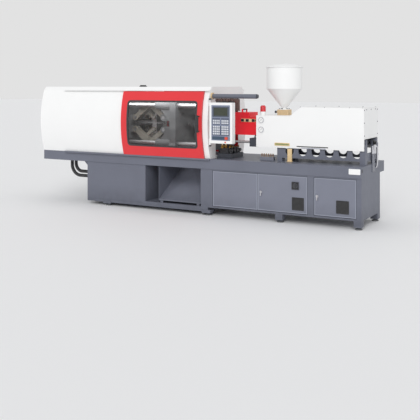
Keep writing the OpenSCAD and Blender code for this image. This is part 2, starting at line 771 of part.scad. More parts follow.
// A safety door: a curved tray with a rounded window opening and the rim round it
module window_prism(grow) along_y(front_y - bulge - 60, front_y + 60)
    translate([window_x, window_z]) round_rect(window_w + 2 * grow, window_h + 2 * grow, window_r + grow);

module safety_door() difference() {
    along_x(door_x, door_end) curved(door_gap, door_gap + door_t, door_z, door_z + door_h);
    window_prism(0);
    difference() {
        along_x(door_x + door_rim, door_end - door_rim)
            curved(0, door_gap + door_t - sheet_t, door_z + door_rim, door_z + door_h - door_rim);
        window_prism(door_rim);
    }
}

module safety_window() intersection() {
    along_x(door_x, door_end) curved(door_gap + 8, door_gap + 8 + window_t, door_z, door_z + door_h);
    window_prism(0);
}

// A pull handle that ends sink mm below the door's face
module pull_handle(sink) difference() {
    union() {
        for (z = [handle_z[0] + 14, handle_z[1] - 14]) bar_y(handle_y, handle_y + 60, handle_x, z, 8);
        translate([handle_x, handle_y, handle_z[0]]) cylinder(h = handle_z[1] - handle_z[0], r = 11);
    }
    translate([handle_x - 20, cover_y, cover_mid]) rotate([0, 90, 0])
        cylinder(h = 40, r = cover_r + door_gap + door_t - sink, $fn = 360);
}

module front_door() color("red") safety_door();
module front_window() color("lightgray", 0.4) safety_window();
module front_handle() color("black") pull_handle(0);
module rear_door() color("red") mirror([0, 1, 0]) {
    safety_door();
    pull_handle(1);
}
module rear_window() color("lightgray", 0.4) mirror([0, 1, 0]) safety_window();

// The panel's housing, with a recess for its face and two lugs on the hinge pin
module control_panel() color("white") difference() {
    union() {
        translate([panel_x + panel_w / 2, panel_y - panel_d / 2, panel_z])
            linear_extrude(panel_h) round_rect(panel_w, panel_d, 10);
        for (z = [panel_z + 5, panel_z + panel_h - 45]) {
            translate([hinge_x, hinge_y, z]) cylinder(h = 40, r = 16);
            block(hinge_x, panel_x + 60, panel_y - 1, panel_y + 18, z, z + 40);
        }
    }
    block(face_x, face_x + face_w, face_y - 1, face_y + face_t, face_z, face_z + face_h);
    translate([hinge_x, hinge_y, panel_z]) cylinder(h = panel_h, r = hinge_r + fit);
    bar_y(face_y, face_y + 44, stop_x, stop_z, stop_r + fit);
}

// The keys of the panel's face: columns by rows of keys, from x and z
module keys(x, z, columns, rows) for (i = [0 : columns - 1]) for (j = [0 : rows - 1])
    translate([x + i * 25, face_y - 1.5, z + j * 28]) cube([18, 2.5, 20]);

module panel_face() color("gray") {
    difference() {
        block(face_x, face_x + face_w, face_y, face_y + face_t, face_z, face_z + face_h);
        block(face_x + 22, face_x + face_w - 22, face_y - 1, face_y + 2, face_z + 290, face_z + 402);
        bar_y(face_y - 1, face_y + 10, stop_x, stop_z, stop_r + fit);
    }
    keys(face_x + 22, face_z + 72, 4, 4);
    keys(face_x + 140, face_z + 72, 4, 4);
    keys(face_x + 22, face_z + 200, 4, 2);
    keys(face_x + 140, face_z + 200, 4, 2);
}

module stop_button() color("red") {
    bar_y(face_y - 22, face_y - 7, stop_x, stop_z, 18);
    bar_y(face_y - 8, face_y + 30, stop_x, stop_z, stop_r);
}

// The casting under the injection unit, its U openings, its end posts and the guide rods
module guide_base() color("slategray") {
    both_sides() difference() {
        along_y(casting_y - casting_t, casting_y) difference() {
            translate([casting_x, casting_z]) square([casting_l, casting_h]);
            for (i = [0 : 5]) translate([casting_x + 160 + i * 165, 0]) {
                translate([0, casting_z + 83]) circle(53);
                translate([-53, casting_z + 83]) square([106, 75]);
            }
        }
    }
    both_sides() for (x = [casting_x, guide_x1 - post_l]) {
        block(x, x + post_l, guide_y - 25, casting_y, bed_top, casting_z + casting_h);
        block(x, x + post_l, guide_y - 25, guide_y + 25, casting_z + casting_h - 1, guide_z + 30);
    }
    both_sides() bar_x(casting_x + 1, guide_x1 - 1, guide_y, guide_z, guide_r);
    for (x = [casting_x + 20, guide_x1 - casting_t])
        block(x, x + casting_t, -casting_y + 1, casting_y - 1, casting_z, casting_z + 90);
}

// The moving seat of the injection unit: feed housing, side beams and the blocks on the guide rods
module injection_seat() color("dimgray") difference() {
    union() {
        block(housing_x, housing_x + housing_l, -110, 110, housing_z[0], housing_z[1]);
        block(housing_x + housing_l - 50, housing_x + housing_l, -beam_y[1], beam_y[1], beam_z[0], beam_z[1]);
        both_sides() {
            block(housing_x + housing_l - 1, seat_end, beam_y[0], beam_y[1], beam_z[0], beam_z[1]);
            for (x = slider_x)
                block(x, x + block_l, beam_y[0], guide_y + guide_r + 10, guide_z - guide_r - 12,
                    beam_z[0] + 1);
            block(slider_x[0] + 20, slider_x[0] + 60, guide_y, hood_y - shell_t - gap,
                guide_z + guide_r + 1, beam_z[0] + 1);
        }
        block(seat_end - 80, seat_end - 10, -beam_y[0] - 1, beam_y[0] + 1, beam_z[0], beam_z[1]);
        block(housing_x, cyl_x[1] + 14, -245, 0, housing_z[0] - 14, housing_z[0] + 1);
        block(cyl_x[1], cyl_x[1] + 14, -245, -140, cyl_z - 50, housing_z[0]);
    }
    bar_x(housing_x - 1, housing_x + housing_l + 1, 0, axis_z, barrel_r + fit);
    translate([hopper_x, 0, axis_z]) cylinder(h = housing_z[1], r = throat_r);
    both_sides() for (x = slider_x) bar_x(x - 1, x + block_l + 1, guide_y, guide_z, guide_r + fit);
}

// The barrel with its nozzle and heater bands
module barrel() color("silver") difference() {
    union() {
        bar_x(barrel_x, housing_x + housing_l, 0, axis_z, barrel_r);
        bar_x(nozzle_x + 20, barrel_x + 1, 0, axis_z, nozzle_r);
        translate([nozzle_x, 0, axis_z]) rotate([0, 90, 0]) cylinder(h = 20, r1 = 10, r2 = nozzle_r);
        for (i = [0 : 3]) bar_x(barrel_x + 30 + i * 130, barrel_x + 130 + i * 130, 0, axis_z, barrel_r + 6);
    }
    bar_x(barrel_x + 15, housing_x + housing_l + 1, 0, axis_z, screw_r + fit);
    bar_x(nozzle_x - 1, barrel_x + 16, 0, axis_z, 4);
    translate([hopper_x, 0, axis_z]) cylinder(h = barrel_r + 10, r = throat_r - 10);
}

module screw() color("silver") {
    tip_x = barrel_x + 170;
    translate([tip_x, 0, axis_z]) rotate([0, 90, 0]) cylinder(h = 30, r1 = 4, r2 = screw_r);
    bar_x(tip_x + 29, drive_x + 40, 0, axis_z, screw_r);
}

module injection_drive() color("dimgray") difference() {
    union() {
        block(drive_x, drive_x + 50, -beam_y[0] + gap, beam_y[0] - gap, axis_z - 95, axis_z + 95);
        bar_x(drive_x + 49, drive_x + 190, 0, axis_z, 70);
        bar_x(drive_x + 49, drive_x + 75, 0, axis_z, 90);
        bar_x(drive_x + 189, drive_x + 210, 0, axis_z, 55);
    }
    bar_x(drive_x - 1, drive_x + 42, 0, axis_z, screw_r + fit);
}

module carriage_cylinder() color("dimgray") difference() {
    union() {
        bar_x(cyl_x[0] + 20, cyl_x[1], cyl_y, cyl_z, cyl_r + 10);
        block(cyl_x[0], cyl_x[0] + 110, cyl_y - 52, cyl_y + 52, cyl_z - 52, cyl_z + 52);
    }
    bar_x(cyl_x[0] + 15, cyl_x[1] - 15, cyl_y, cyl_z, cyl_r);
    bar_x(cyl_x[0] - 1, cyl_x[0] + 16, cyl_y, cyl_z, cyl_rod_r + fit);
}

module carriage_rod() color("silver") {
    bar_x(fixed_back, cyl_x[0] + 31, cyl_y, cyl_z, cyl_rod_r);
    bar_x(cyl_x[0] + 30, cyl_x[0] + 55, cyl_y, cyl_z, cyl_r - fit);
    bar_x(fixed_back, fixed_back + 40, cyl_y, cyl_z, cyl_rod_r + 12);
}

// The red guard over the barrel, open below, with its vent slots and its lifting handle
module barrel_guard() color("red") {
    x0 = barrel_x + 40;
    x1 = x0 + guard_step;
    x2 = hood_x + 18;
    difference() {
        union() {
            block(x0, x1, -125, 125, 990, 1270);
            block(x1 - 1, x2, -125, 125, 990, 1200);
        }
        block(x0 + shell_t, x1 - shell_t, -125 + shell_t, 125 - shell_t, 989, 1270 - shell_t);
        block(x1 - shell_t - 1, x2 + 1, -125 + shell_t, 125 - shell_t, 989, 1200 - shell_t);
        block(x0 - 1, x0 + 3, -60, 60, 989, 1165);
        for (i = [0 : 4]) block(x1 + 16 + i * 32, x1 + 38 + i * 32, -126, -122, 1160, 1184);
    }
    for (y = [-60, 60]) block(x0 + 70, x0 + 86, y - 6, y + 6, 1269, 1310);
    block(x0 + 70, x0 + 86, -66, 66, 1298, 1310);
}

module hood_side(t) polygon([[hood_x + t, hood_z - 1], [hood_x + t, hood_low_z - t],
    [slope_x[0] - 0.3 * t, hood_low_z - t], [slope_x[1] - 0.3 * t, hood_high_z - t],
    [hood_end - t, hood_high_z - t], [hood_end - t, hood_z - 1]]);

// The sheet cover of the injection unit, open below and cut out for the barrel guard and the casting
module injection_hood() color("white") difference() {
    along_y(-hood_y, hood_y) intersection() {
        hood_side(0);
        translate([hood_x, hood_z]) square([hood_l, 900]);
    }
    along_y(-hood_y + shell_t, hood_y - shell_t) hood_side(shell_t);
    block(hood_x - 1, hood_x + 3, -125 - gap, 125 + gap, hood_z - 1, 1200 + gap);
    block(hood_x - 1, hood_x + 3, cyl_y - 58, -100, hood_z - 1, cyl_z + 58);
    block(hood_end - 3, hood_end + 1, -casting_y - 6, casting_y + 6, hood_z - 1, guide_z + 40);
    block(hood_x + 528, hood_x + 918, -hood_y - 1, -hood_y + 3, hood_z + 18, hood_z + 30);
    translate([hopper_x, 0, hood_low_z - 5]) cylinder(h = 10, r = 47);
}

// The hopper is a spun sheet: a flange, a neck, a cone and a straight wall with a rolled rim
module hopper() color("white") translate([hopper_x, 0, flange_z]) rotate_extrude() polygon([
    [throat_r - hopper_t, 0], [throat_r + 42, 0], [throat_r + 42, 8], [throat_r, 8], [throat_r, neck_h],
    [hopper_r, neck_h + hopper_cone], [hopper_r, hopper_top - 6], [hopper_r + 6, hopper_top - 6],
    [hopper_r + 6, hopper_top], [hopper_r - hopper_t, hopper_top],
    [hopper_r - hopper_t, neck_h + hopper_cone + 1], [throat_r - hopper_t, neck_h + 1]]);

module hopper_lid() color("white") translate([hopper_x, 0, flange_z + hopper_top]) rotate_extrude() polygon([
    [0, 40], [hopper_r * 0.55, 32], [hopper_r * 0.9, 12], [hopper_r + 11, 4], [hopper_r + 11, -4],
    [hopper_r + 8, -4], [hopper_r + 8, 0], [hopper_r - 10, 0], [hopper_r * 0.88, 9],
    [hopper_r * 0.54, 29], [0, 37]]);

// The block between the hopper and the feed housing, with its shut-off slide
module hopper_base() color("tan") translate([hopper_x, 0, 0]) difference() {
    union() {
        translate([0, 0, housing_z[1]]) cylinder(h = hood_low_z + 2 - housing_z[1], r = 45);
        translate([0, 0, hood_low_z + gap]) linear_extrude(flange_z - hood_low_z - gap)
            round_rect(148, 120, 12);
        block(-96, -70, -20, 20, flange_z - 38, flange_z - 24);
    }
    translate([0, 0, housing_z[1] - 1]) cylinder(h = 100, r = throat_r - hopper_t);
}

module signal_lamp() color("red") translate([lamp_x, lamp_y, hood_low_z]) {
    cylinder(h = 44, r = lamp_r);
    translate([0, 0, 43]) cylinder(h = 62, r = lamp_r - 3);
    translate([0, 0, 104]) cylinder(h = 16, r1 = lamp_r - 3, r2 = lamp_r - 16);
}

// A hose from the bed's underside, through a quarter bend, into the base
module hose(x, z, bend) {
    translate([x, hose_y, z + bend]) cylinder(h = bed_top - plate_t - z - bend, r = hose_r);
    translate([x + bend, hose_y, z + bend]) rotate([90, 0, 0]) rotate([0, 0, 180]) rotate_extrude(angle = 90)
        translate([bend, 0]) circle(hose_r);
    bar_x(x + bend, base_x, hose_y, z, hose_r);
    bar_x(base_x - 40, base_x, hose_y, z, hose_r + hose_sleeve);
    translate([x, hose_y, bed_top - plate_t - 60]) cylinder(h = 60, r = hose_r + hose_sleeve);
}
module hydraulic_hoses() color("black") {
    for (i = [0, 1]) hose(hose_x[i], hose_z[i], hose_bend[i]);
}

module water_manifold() color("gray") translate([960, -225, bed_top]) {
    cube([180, 50, 40]);
    for (i = [0 : 5]) translate([16 + i * 29.5, 25, 39]) {
        cylinder(h = 40, r = 7);
        translate([0, 0, 16]) cylinder(h = 12, r = 12);
    }
}

// The valve stack behind the fixed platen
module valve_block() color("dimgray") translate([guard_x1 + 20, -300, bed_top]) {
    cube([190, 330, 60]);
    for (i = [0 : 3]) translate([20, 20 + i * 78, 59]) {
        cube([120, 56, 70]);
        translate([119, 28, 35]) rotate([0, 90, 0]) cylinder(h = 44, r = 20);
    }
    for (i = [0 : 2]) translate([165, 40 + i * 110, 59]) {
        cylinder(h = 30, r = 14);
        cylinder(h = 55, r = 8);
    }
}

// The bracket, elbow and cap at the bed's right end
module rear_valve() color("gray") translate([end_x, 0, 0]) {
    block(0, 8, -50, 50, bed_top - 90, bed_top + 210);
    block(7, 30, -24, 24, bed_top + 120, bed_top + 168);
    translate([20, 0, bed_top + 167]) {
        cylinder(h = 60, r = 14);
        translate([0, 0, 58]) cylinder(h = 34, r = 19);
    }
}

clamp_base();
cabinet();
bed_frame();
bed_ways();
levelling_feet();
drop_chute();
power_unit();
fixed_platen();
tail_platen();
tie_bars();
tie_bar_nuts();
tail_pins();
clamp_cylinder();
side_covers();
top_cover();
platen_guard();
overhead_arm();
guide_base();
hydraulic_hoses();
water_manifold();
valve_block();
rear_valve();
carriage_rod();
moving_platen();
platen_pins();
ejector_cylinder();
ejector_rod();
upper_rear_link();
lower_rear_link();
upper_front_link();
lower_front_link();
upper_crosshead_link();
lower_crosshead_link();
crosshead();
clamp_rod();
front_door();
front_window();
front_handle();
rear_door();
rear_window();
control_panel();
panel_face();
stop_button();
cabinet_door_left();
cabinet_door_right();
cabinet_door_end();
door_latch();
end_door_latch();
switch_knob();
injection_seat();
barrel();
screw();
injection_drive();
barrel_guard();
injection_hood();
hopper();
hopper_lid();
hopper_base();
signal_lamp();
carriage_cylinder();
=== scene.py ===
"""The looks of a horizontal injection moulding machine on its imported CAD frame, in metres."""

import math

import bmesh
import bpy
from mathutils import Matrix, Vector


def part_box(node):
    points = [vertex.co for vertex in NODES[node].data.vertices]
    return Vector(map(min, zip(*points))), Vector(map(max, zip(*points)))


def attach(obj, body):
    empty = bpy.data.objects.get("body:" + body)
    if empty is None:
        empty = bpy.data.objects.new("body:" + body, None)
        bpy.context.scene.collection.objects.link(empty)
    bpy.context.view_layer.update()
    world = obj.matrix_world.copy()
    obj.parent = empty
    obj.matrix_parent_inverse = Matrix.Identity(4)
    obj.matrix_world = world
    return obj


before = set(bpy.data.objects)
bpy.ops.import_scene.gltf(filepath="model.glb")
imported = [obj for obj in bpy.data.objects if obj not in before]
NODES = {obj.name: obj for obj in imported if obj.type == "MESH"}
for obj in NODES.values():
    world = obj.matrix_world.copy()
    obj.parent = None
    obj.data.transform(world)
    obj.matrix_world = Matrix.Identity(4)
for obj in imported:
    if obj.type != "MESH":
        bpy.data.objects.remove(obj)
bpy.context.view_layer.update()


# Colours, as they look in the photograph

def colour(red, green, blue):
    """A colour of 0 to 255 as the linear values that a shader takes."""
    def linear(v):
        v /= 255
        return v / 12.92 if v <= 0.04045 else ((v + 0.055) / 1.055) ** 2.4
    return (linear(red), linear(green), linear(blue), 1)


MACHINE_GREY = colour(112, 115, 127)
SHEET_GREY = colour(128, 131, 144)
LIGHT_GREY = colour(150, 154, 168)
RIM_GREY = colour(146, 150, 163)
COVER_WHITE = colour(243, 243, 242)
DOOR_RED = colour(225, 52, 58)
# The guard's red made brighter than its paint: painted light that makes up for the shade on the
# guard.
GUARD_RED_BRIGHTENED = colour(244, 42, 54)
BUTTON_RED = colour(226, 72, 40)
LENS_RED = colour(226, 36, 50)
CAST_GREY = colour(108, 110, 112)
LINK_GREY = colour(132, 128, 118)
STEEL = colour(196, 196, 198)
CHROME = colour(214, 214, 218)
DARK_METAL = colour(72, 75, 84)
SMOKED_GREY = colour(58, 58, 62)
CLEAR_TINT = colour(96, 94, 92)
BLACK = colour(24, 24, 27)
RUBBER = colour(30, 30, 33)
KNOB_GREY = colour(58, 59, 64)
CREAM = colour(236, 206, 156)
TAN = colour(218, 190, 148)
BRASS = colour(186, 146, 78)
CONNECTOR = colour(92, 66, 60)
MANIFOLD_GREY = colour(134, 137, 150)
FITTING_TAN = colour(176, 150, 122)
FITTING_BROWN = colour(134, 104, 92)
FACE_GREY = colour(140, 148, 170)
KEY_FIELD = colour(82, 90, 112)
KEY_PALE = colour(226, 229, 234)
STRIP_TEAL = colour(54, 76, 98)
SCREEN = colour(52, 58, 44)
SCREEN_RIM = colour(74, 82, 98)
OLIVE = colour(146, 150, 96)


def darker(tone, share):
    """The tone with only this share of its light."""
    return tuple(v * share for v in tone[:3]) + (1,)


def lighter(tone, share):
    """The tone, this share of the way to white."""
    return tuple(v + (1 - v) * share for v in tone[:3]) + (1,)


# Materials

class Shader:
    """One node material with a Principled shader, built up by its methods."""

    def __init__(self, name, roughness=0.5, metallic=0.0):
        self.material = bpy.data.materials.new(name)
        self.material.use_nodes = True
        self.tree = self.material.node_tree
        self.bsdf = self.tree.nodes["Principled BSDF"]
        self.bsdf.inputs["Roughness"].default_value = roughness
        self.bsdf.inputs["Metallic"].default_value = metallic
        self.place = self.node("ShaderNodeTexCoord").outputs["Object"]

    def node(self, kind, **settings):
        """A new node of this kind, with its settings."""
        made = self.tree.nodes.new(kind)
        for key, value in settings.items():
            setattr(made, key, value)
        return made

    def link(self, source, target):
        """Joins an output to an input."""
        self.tree.links.new(source, target)

    def noise(self, scale, detail, stretch=(1, 1, 1)):
        """A noise over the object, as a value; stretch scales it along X, Y and Z."""
        mapping = self.node("ShaderNodeMapping")
        mapping.inputs["Scale"].default_value = stretch
        self.link(self.place, mapping.inputs["Vector"])
        texture = self.node("ShaderNodeTexNoise")
        texture.inputs["Scale"].default_value = scale
        texture.inputs["Detail"].default_value = detail
        self.link(mapping.outputs["Vector"], texture.inputs["Vector"])
        return texture.outputs["Fac"]

    def wave(self, direction, scale, distortion=0.0):
        """Bands over the object, as a value."""
        made = self.node("ShaderNodeTexWave", wave_type="BANDS", bands_direction=direction)
        made.inputs["Scale"].default_value = scale
        made.inputs["Distortion"].default_value = distortion
        self.link(self.place, made.inputs["Vector"])
        return made.outputs["Fac"]

    def ramp(self, value, low, high):
        """A value stretched so that low becomes 0 and high becomes 1."""
        made = self.node("ShaderNodeMapRange")
        made.inputs["From Min"].default_value = low
        made.inputs["From Max"].default_value = high
        self.link(value, made.inputs["Value"])
        return made.outputs["Result"]

    def math(self, operation, a, b):
        """One arithmetic step on two values, which are numbers or sockets."""
        made = self.node("ShaderNodeMath", operation=operation)
        for value, socket in ((a, made.inputs[0]), (b, made.inputs[1])):
            if isinstance(value, (int, float)):
                socket.default_value = value
            else:
                self.link(value, socket)
        return made.outputs["Value"]

    def mix(self, share, first, second):
        """A colour between first and second, which are colours or sockets."""
        made = self.node("ShaderNodeMix", data_type="RGBA")
        first_input, second_input, output = made.inputs[6], made.inputs[7], made.outputs[2]
        self.link(share, made.inputs["Factor"])
        for value, socket in ((first, first_input), (second, second_input)):
            if isinstance(value, tuple):
                socket.default_value = value
            else:
                self.link(value, socket)
        return output

    def along(self, axis):
        """The X, Y or Z place of the surface, in metres."""
        split = self.node("ShaderNodeSeparateXYZ")
        self.link(self.place, split.inputs["Vector"])
        return split.outputs[axis]

    def colour(self, value):
        """Colours the surface by a socket."""
        self.link(value, self.bsdf.inputs["Base Color"])

    def bump(self, value, depth):
        """Raises the surface by a socket, depth metres at the most."""
        made = self.node("ShaderNodeBump")
        made.inputs["Strength"].default_value = 1.0
        made.inputs["Distance"].default_value = depth
        self.link(value, made.inputs["Height"])
        self.link(made.outputs["Normal"], self.bsdf.inputs["Normal"])

    def roughness(self, value, low, high):
        """Varies the roughness from low to high by a socket of 0 to 1."""
        made = self.node("ShaderNodeMapRange")
        made.inputs["To Min"].default_value = low
        made.inputs["To Max"].default_value = high
        self.link(value, made.inputs["Value"])
        self.link(made.outputs["Result"], self.bsdf.inputs["Roughness"])


def paint(name, tone, rough=0.42, coat=0.04, soil=0.10, gloss=0.24):
    """Sprayed paint: a faint cloudiness, darker in noisy patches low down and an orange-peel
    surface.
    """
    orange_peel = 0.00006
    darkening_starts, darkening_full = 0.28, 0.05
    shader = Shader(name)
    cloud = shader.noise(scale=2.2, detail=4)
    clouds = shader.ramp(cloud, low=0.35, high=0.75)
    clouded = shader.mix(clouds, tone, darker(tone, 1 - soil))
    # Darker in noisy patches towards the floor.
    near_floor = shader.ramp(shader.along("Z"), darkening_starts, darkening_full)
    low = shader.math("MULTIPLY", near_floor, shader.noise(scale=9, detail=6))
    shader.colour(shader.mix(low, clouded, darker(tone, 0.55)))
    shader.roughness(shader.noise(scale=14, detail=5), rough - 0.07, rough + 0.08)
    shader.bump(shader.noise(scale=420, detail=2), depth=orange_peel)
    shader.bsdf.inputs["Specular IOR Level"].default_value = gloss
    shader.bsdf.inputs["Coat Weight"].default_value = coat
    shader.bsdf.inputs["Coat Roughness"].default_value = 0.12
    return shader


def door_paint(node, tone):
    """Paint on a sheet door, paler along its folded edges where the light catches them."""
    rim = 0.012
    shader = paint(node, tone)
    low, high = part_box(node)
    edge = None
    for axis, index in (("X", 0), ("Z", 2)):
        for place, side in ((low[index], 1), (high[index], -1)):
            offset = shader.math("SUBTRACT", shader.along(axis), place)
            inwards = shader.math("MULTIPLY", offset, side)
            near = shader.ramp(inwards, rim, rim * 0.6)
            edge = near if edge is None else shader.math("MAXIMUM", edge, near)
    base = shader.bsdf.inputs["Base Color"].links[0].from_socket
    shader.colour(shader.mix(edge, base, RIM_GREY))
    return shader


def metal(name, tone, rough=0.28, stretch=(1, 60, 60), grain=0.00002):
    """Ground or turned metal, its fine lines along X unless stretch says otherwise."""
    shader = Shader(name, rough, metallic=1.0)
    lines = shader.noise(scale=12, detail=6, stretch=stretch)
    shader.colour(shader.mix(shader.ramp(lines, low=0.3, high=0.7), tone, darker(tone, 0.82)))
    shader.roughness(lines, rough - 0.08, rough + 0.12)
    shader.bump(lines, depth=grain)
    return shader


def casting(name, tone, rough=0.62):
    """A painted sand casting with its grainy skin."""
    shader = Shader(name)
    grain = shader.noise(scale=160, detail=8)
    patches = shader.noise(scale=6, detail=5)
    shader.colour(shader.mix(shader.ramp(patches, low=0.35, high=0.7), tone, darker(tone, 0.78)))
    shader.roughness(grain, rough - 0.1, rough + 0.12)
    shader.bump(grain, depth=0.0004)
    return shader


def plastic(name, tone, rough=0.5, grain=0.00005):
    """Moulded plastic with a fine texture."""
    shader = Shader(name)
    skin = shader.noise(scale=900, detail=3)
    cloud = shader.noise(scale=20, detail=3)
    shader.colour(shader.mix(cloud, darker(tone, 0.9), lighter(tone, 0.03)))
    shader.roughness(skin, rough - 0.06, rough + 0.06)
    shader.bump(skin, depth=grain)
    return shader


def rubber(name, tone):
    """Hose rubber with the print of its cloth wrapping."""
    shader = Shader(name)
    wrap = shader.wave("DIAGONAL", scale=60, distortion=1.5)
    shader.colour(shader.mix(shader.noise(scale=30, detail=4), tone, lighter(tone, 0.06)))
    shader.roughness(shader.noise(scale=50, detail=4), low=0.5, high=0.75)
    shader.bump(wrap, depth=0.0006)
    return shader


def banded(name, node, axis, bands, rough):
    """A material whose colour changes along an axis.

    bands are (distance from the node's lowest corner, colour), each from there on.
    """
    shader = Shader(name, rough)
    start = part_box(node)[0]["XYZ".index(axis)]
    tone = bands[0][1]
    for distance, following in bands[1:]:
        past = shader.math("GREATER_THAN", shader.along(axis), start + distance)
        tone = shader.mix(past, tone, following)
    spots = shader.math("MULTIPLY", shader.noise(scale=90, detail=5), 0.25)
    shader.colour(shader.mix(spots, tone, BLACK))
    shader.roughness(shader.noise(scale=60, detail=4), rough - 0.1, rough + 0.1)
    shader.bump(shader.noise(scale=300, detail=3), depth=0.00008)
    return shader


def window_sheet(name, tint, haze, density):
    """Polycarbonate sheet with a tint, a weak gloss and a little scuffing.

    haze is how pale the scuffs are, and density how much the sheet hides, both from 0 to 1.
    """
    shader = Shader(name, 0.12)
    scuffs = shader.ramp(shader.noise(scale=5, detail=2, stretch=(1, 1, 2)), low=0.40, high=0.90)
    shader.colour(shader.mix(scuffs, tint, lighter(tint, haze)))
    shader.roughness(scuffs, low=0.10, high=0.16)
    shader.bsdf.inputs["Alpha"].default_value = density
    shader.bsdf.inputs["Specular IOR Level"].default_value = 0.14
    shader.material.surface_render_method = "BLENDED"
    return shader


def lamp_lens(name, tone):
    """The signal lamp: a ribbed, glossy lens on a white foot."""
    foot_height = 0.044
    shader = Shader(name, 0.15)
    ribs = shader.wave("Z", scale=90)
    foot = shader.math("LESS_THAN", shader.along("Z"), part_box("signal_lamp")[0].z + foot_height)
    lens = shader.mix(ribs, tone, darker(tone, 0.7))
    shader.colour(shader.mix(foot, lens, COVER_WHITE))
    shader.bump(ribs, depth=0.0005)
    shader.bsdf.inputs["Coat Weight"].default_value = 0.6
    return shader


# Where the colour of a node changes along one axis, as banded() takes it.
PANEL_FACE_BANDS = ((0, KEY_PALE), (0.0010, FACE_GREY))
MANIFOLD_BANDS = ((0, MANIFOLD_GREY), (0.0402, FITTING_TAN), (0.0550, FITTING_BROWN),
                  (0.0672, FITTING_TAN))
VALVE_BLOCK_BANDS = ((0, DARK_METAL), (0.0602, SMOKED_GREY))
REAR_VALVE_BANDS = ((0, MACHINE_GREY), (0.2095, CHROME), (0.3150, BLACK))
ARM_BANDS = ((0, CREAM), (0.0141, MACHINE_GREY), (0.6135, DARK_METAL))

MATERIALS = {
    "grey": paint("machine_grey", MACHINE_GREY),
    "white": paint("cover_white", COVER_WHITE, rough=0.35, coat=0.15, soil=0.02, gloss=0.4),
    "red": paint("door_red", DOOR_RED, rough=0.3, coat=0.2, soil=0.05, gloss=0.4),
    # The guard's red, brightened as painted light against the shade it stands in.
    "guard_red_brightened": paint("guard_red_brightened", GUARD_RED_BRIGHTENED, rough=0.35, coat=0.1, soil=0.05, gloss=0.3),
    "light_grey": paint("light_grey", LIGHT_GREY, soil=0.05),
    "dark_metal": paint("dark_metal", DARK_METAL, rough=0.45, soil=0.2),
    "cast": casting("cast_grey", CAST_GREY),
    "links": casting("link_grey", LINK_GREY, rough=0.5),
    "steel": metal("bright_steel", STEEL, rough=0.42),
    "steel_y": metal("turned_pins", STEEL, stretch=(60, 1, 60)),
    "chrome": metal("chrome", CHROME, rough=0.12, stretch=(8, 8, 8), grain=0.000005),
    "black": plastic("black_plastic", BLACK, rough=0.42),
    "knob": plastic("knob_grey", KNOB_GREY, rough=0.42),
    "rubber": rubber("hose_rubber", RUBBER),
    "cream": plastic("cream_plastic", CREAM),
    "tan": casting("tan_base", TAN, rough=0.5),
    "brass": metal("brass", BRASS, rough=0.3, stretch=(20, 20, 20)),
    "connector": plastic("connector_brown", CONNECTOR, rough=0.6),
    "key_field": plastic("key_field", KEY_FIELD, rough=0.55),
    "strip": plastic("panel_strip", STRIP_TEAL, rough=0.45),
    "screen": plastic("screen_glass", SCREEN, rough=0.2, grain=0.00001),
    "screen_rim": plastic("screen_rim", SCREEN_RIM),
    "olive": plastic("sight_olive", OLIVE, rough=0.3),
    "button": plastic("button_red", BUTTON_RED, rough=0.3),
    "window": window_sheet("window_clear", CLEAR_TINT, haze=0.35, density=0.12),
    "rear_window": window_sheet("window_smoked", SMOKED_GREY, haze=0.05, density=0.86),
    "lens": lamp_lens("lamp_lens", LENS_RED),
    "face": banded("panel_face", "panel_face", "Y", PANEL_FACE_BANDS, rough=0.5),
    "manifold": banded("manifold", "water_manifold", "Z", MANIFOLD_BANDS, rough=0.4),
    "valves": banded("valve_block", "valve_block", "Z", VALVE_BLOCK_BANDS, rough=0.45),
    "rear_valve": banded("rear_valve", "rear_valve", "Z", REAR_VALVE_BANDS, rough=0.25),
    "arm": banded("arm_grey", "overhead_arm", "X", ARM_BANDS, rough=0.35),
}

DRESS = {
    "grey": ["clamp_base", "cabinet", "bed_frame", "drop_chute", "guide_base"],
    "white": ["side_covers", "top_cover", "platen_guard", "control_panel", "injection_hood",
              "hopper", "hopper_lid"],
    "red": ["front_door", "rear_door"],
    "guard_red_brightened": ["barrel_guard"],
    "steel": ["bed_ways", "tie_bars", "ejector_rod", "clamp_rod", "carriage_rod", "screw",
              "barrel", "crosshead"],
    "steel_y": ["tail_pins", "platen_pins"],
    "cast": ["fixed_platen", "tail_platen", "moving_platen", "tie_bar_nuts", "injection_seat",
             "levelling_feet"],
    "links": ["upper_rear_link", "lower_rear_link", "upper_front_link", "lower_front_link",
              "upper_crosshead_link", "lower_crosshead_link"],
    "chrome": ["door_latch", "end_door_latch"],
    "black": ["front_handle"],
    "knob": ["switch_knob"],
    "dark_metal": ["power_unit", "clamp_cylinder", "ejector_cylinder", "carriage_cylinder",
                   "injection_drive"],
    "face": ["panel_face"],
    "button": ["stop_button"],
    "lens": ["signal_lamp"],
    "window": ["front_window"],
    "rear_window": ["rear_window"],
    "rubber": ["hydraulic_hoses"],
    "tan": ["hopper_base"],
    "manifold": ["water_manifold"],
    "valves": ["valve_block"],
    "rear_valve": ["rear_valve"],
    "arm": ["overhead_arm"],
}
SHEET_DOORS = ("cabinet_door_left", "cabinet_door_right", "cabinet_door_end")


def dress(node_name, shader):
    """Gives a CAD node one material."""
    for material_slot in NODES[node_name].material_slots:
        material_slot.material = shader.material


for material_name, node_names in DRESS.items():
    for dressed_node in node_names:
        dress(dressed_node, MATERIALS[material_name])
for sheet_door in SHEET_DOORS:
    dress(sheet_door, door_paint(sheet_door, SHEET_GREY))


# Mesh helpers: each add_ function adds a form to a bmesh, in the machine's own frame

TO_FRONT = (0, -1, 0)
TO_LEFT = (-1, 0, 0)
TO_RIGHT = (1, 0, 0)
UP = (0, 0, 1)

# How far a piece on a surface is let into it, so that no gap shows.
SUNK = 0.0005

# Screw heads as turned profiles of (distance, radius).
HEX_HEAD = ((0, 0.007), (0.003, 0.007), (0.0045, 0.004))
ROUND_HEAD = ((0, 0.005), (0.003, 0.005), (0.004, 0.003))


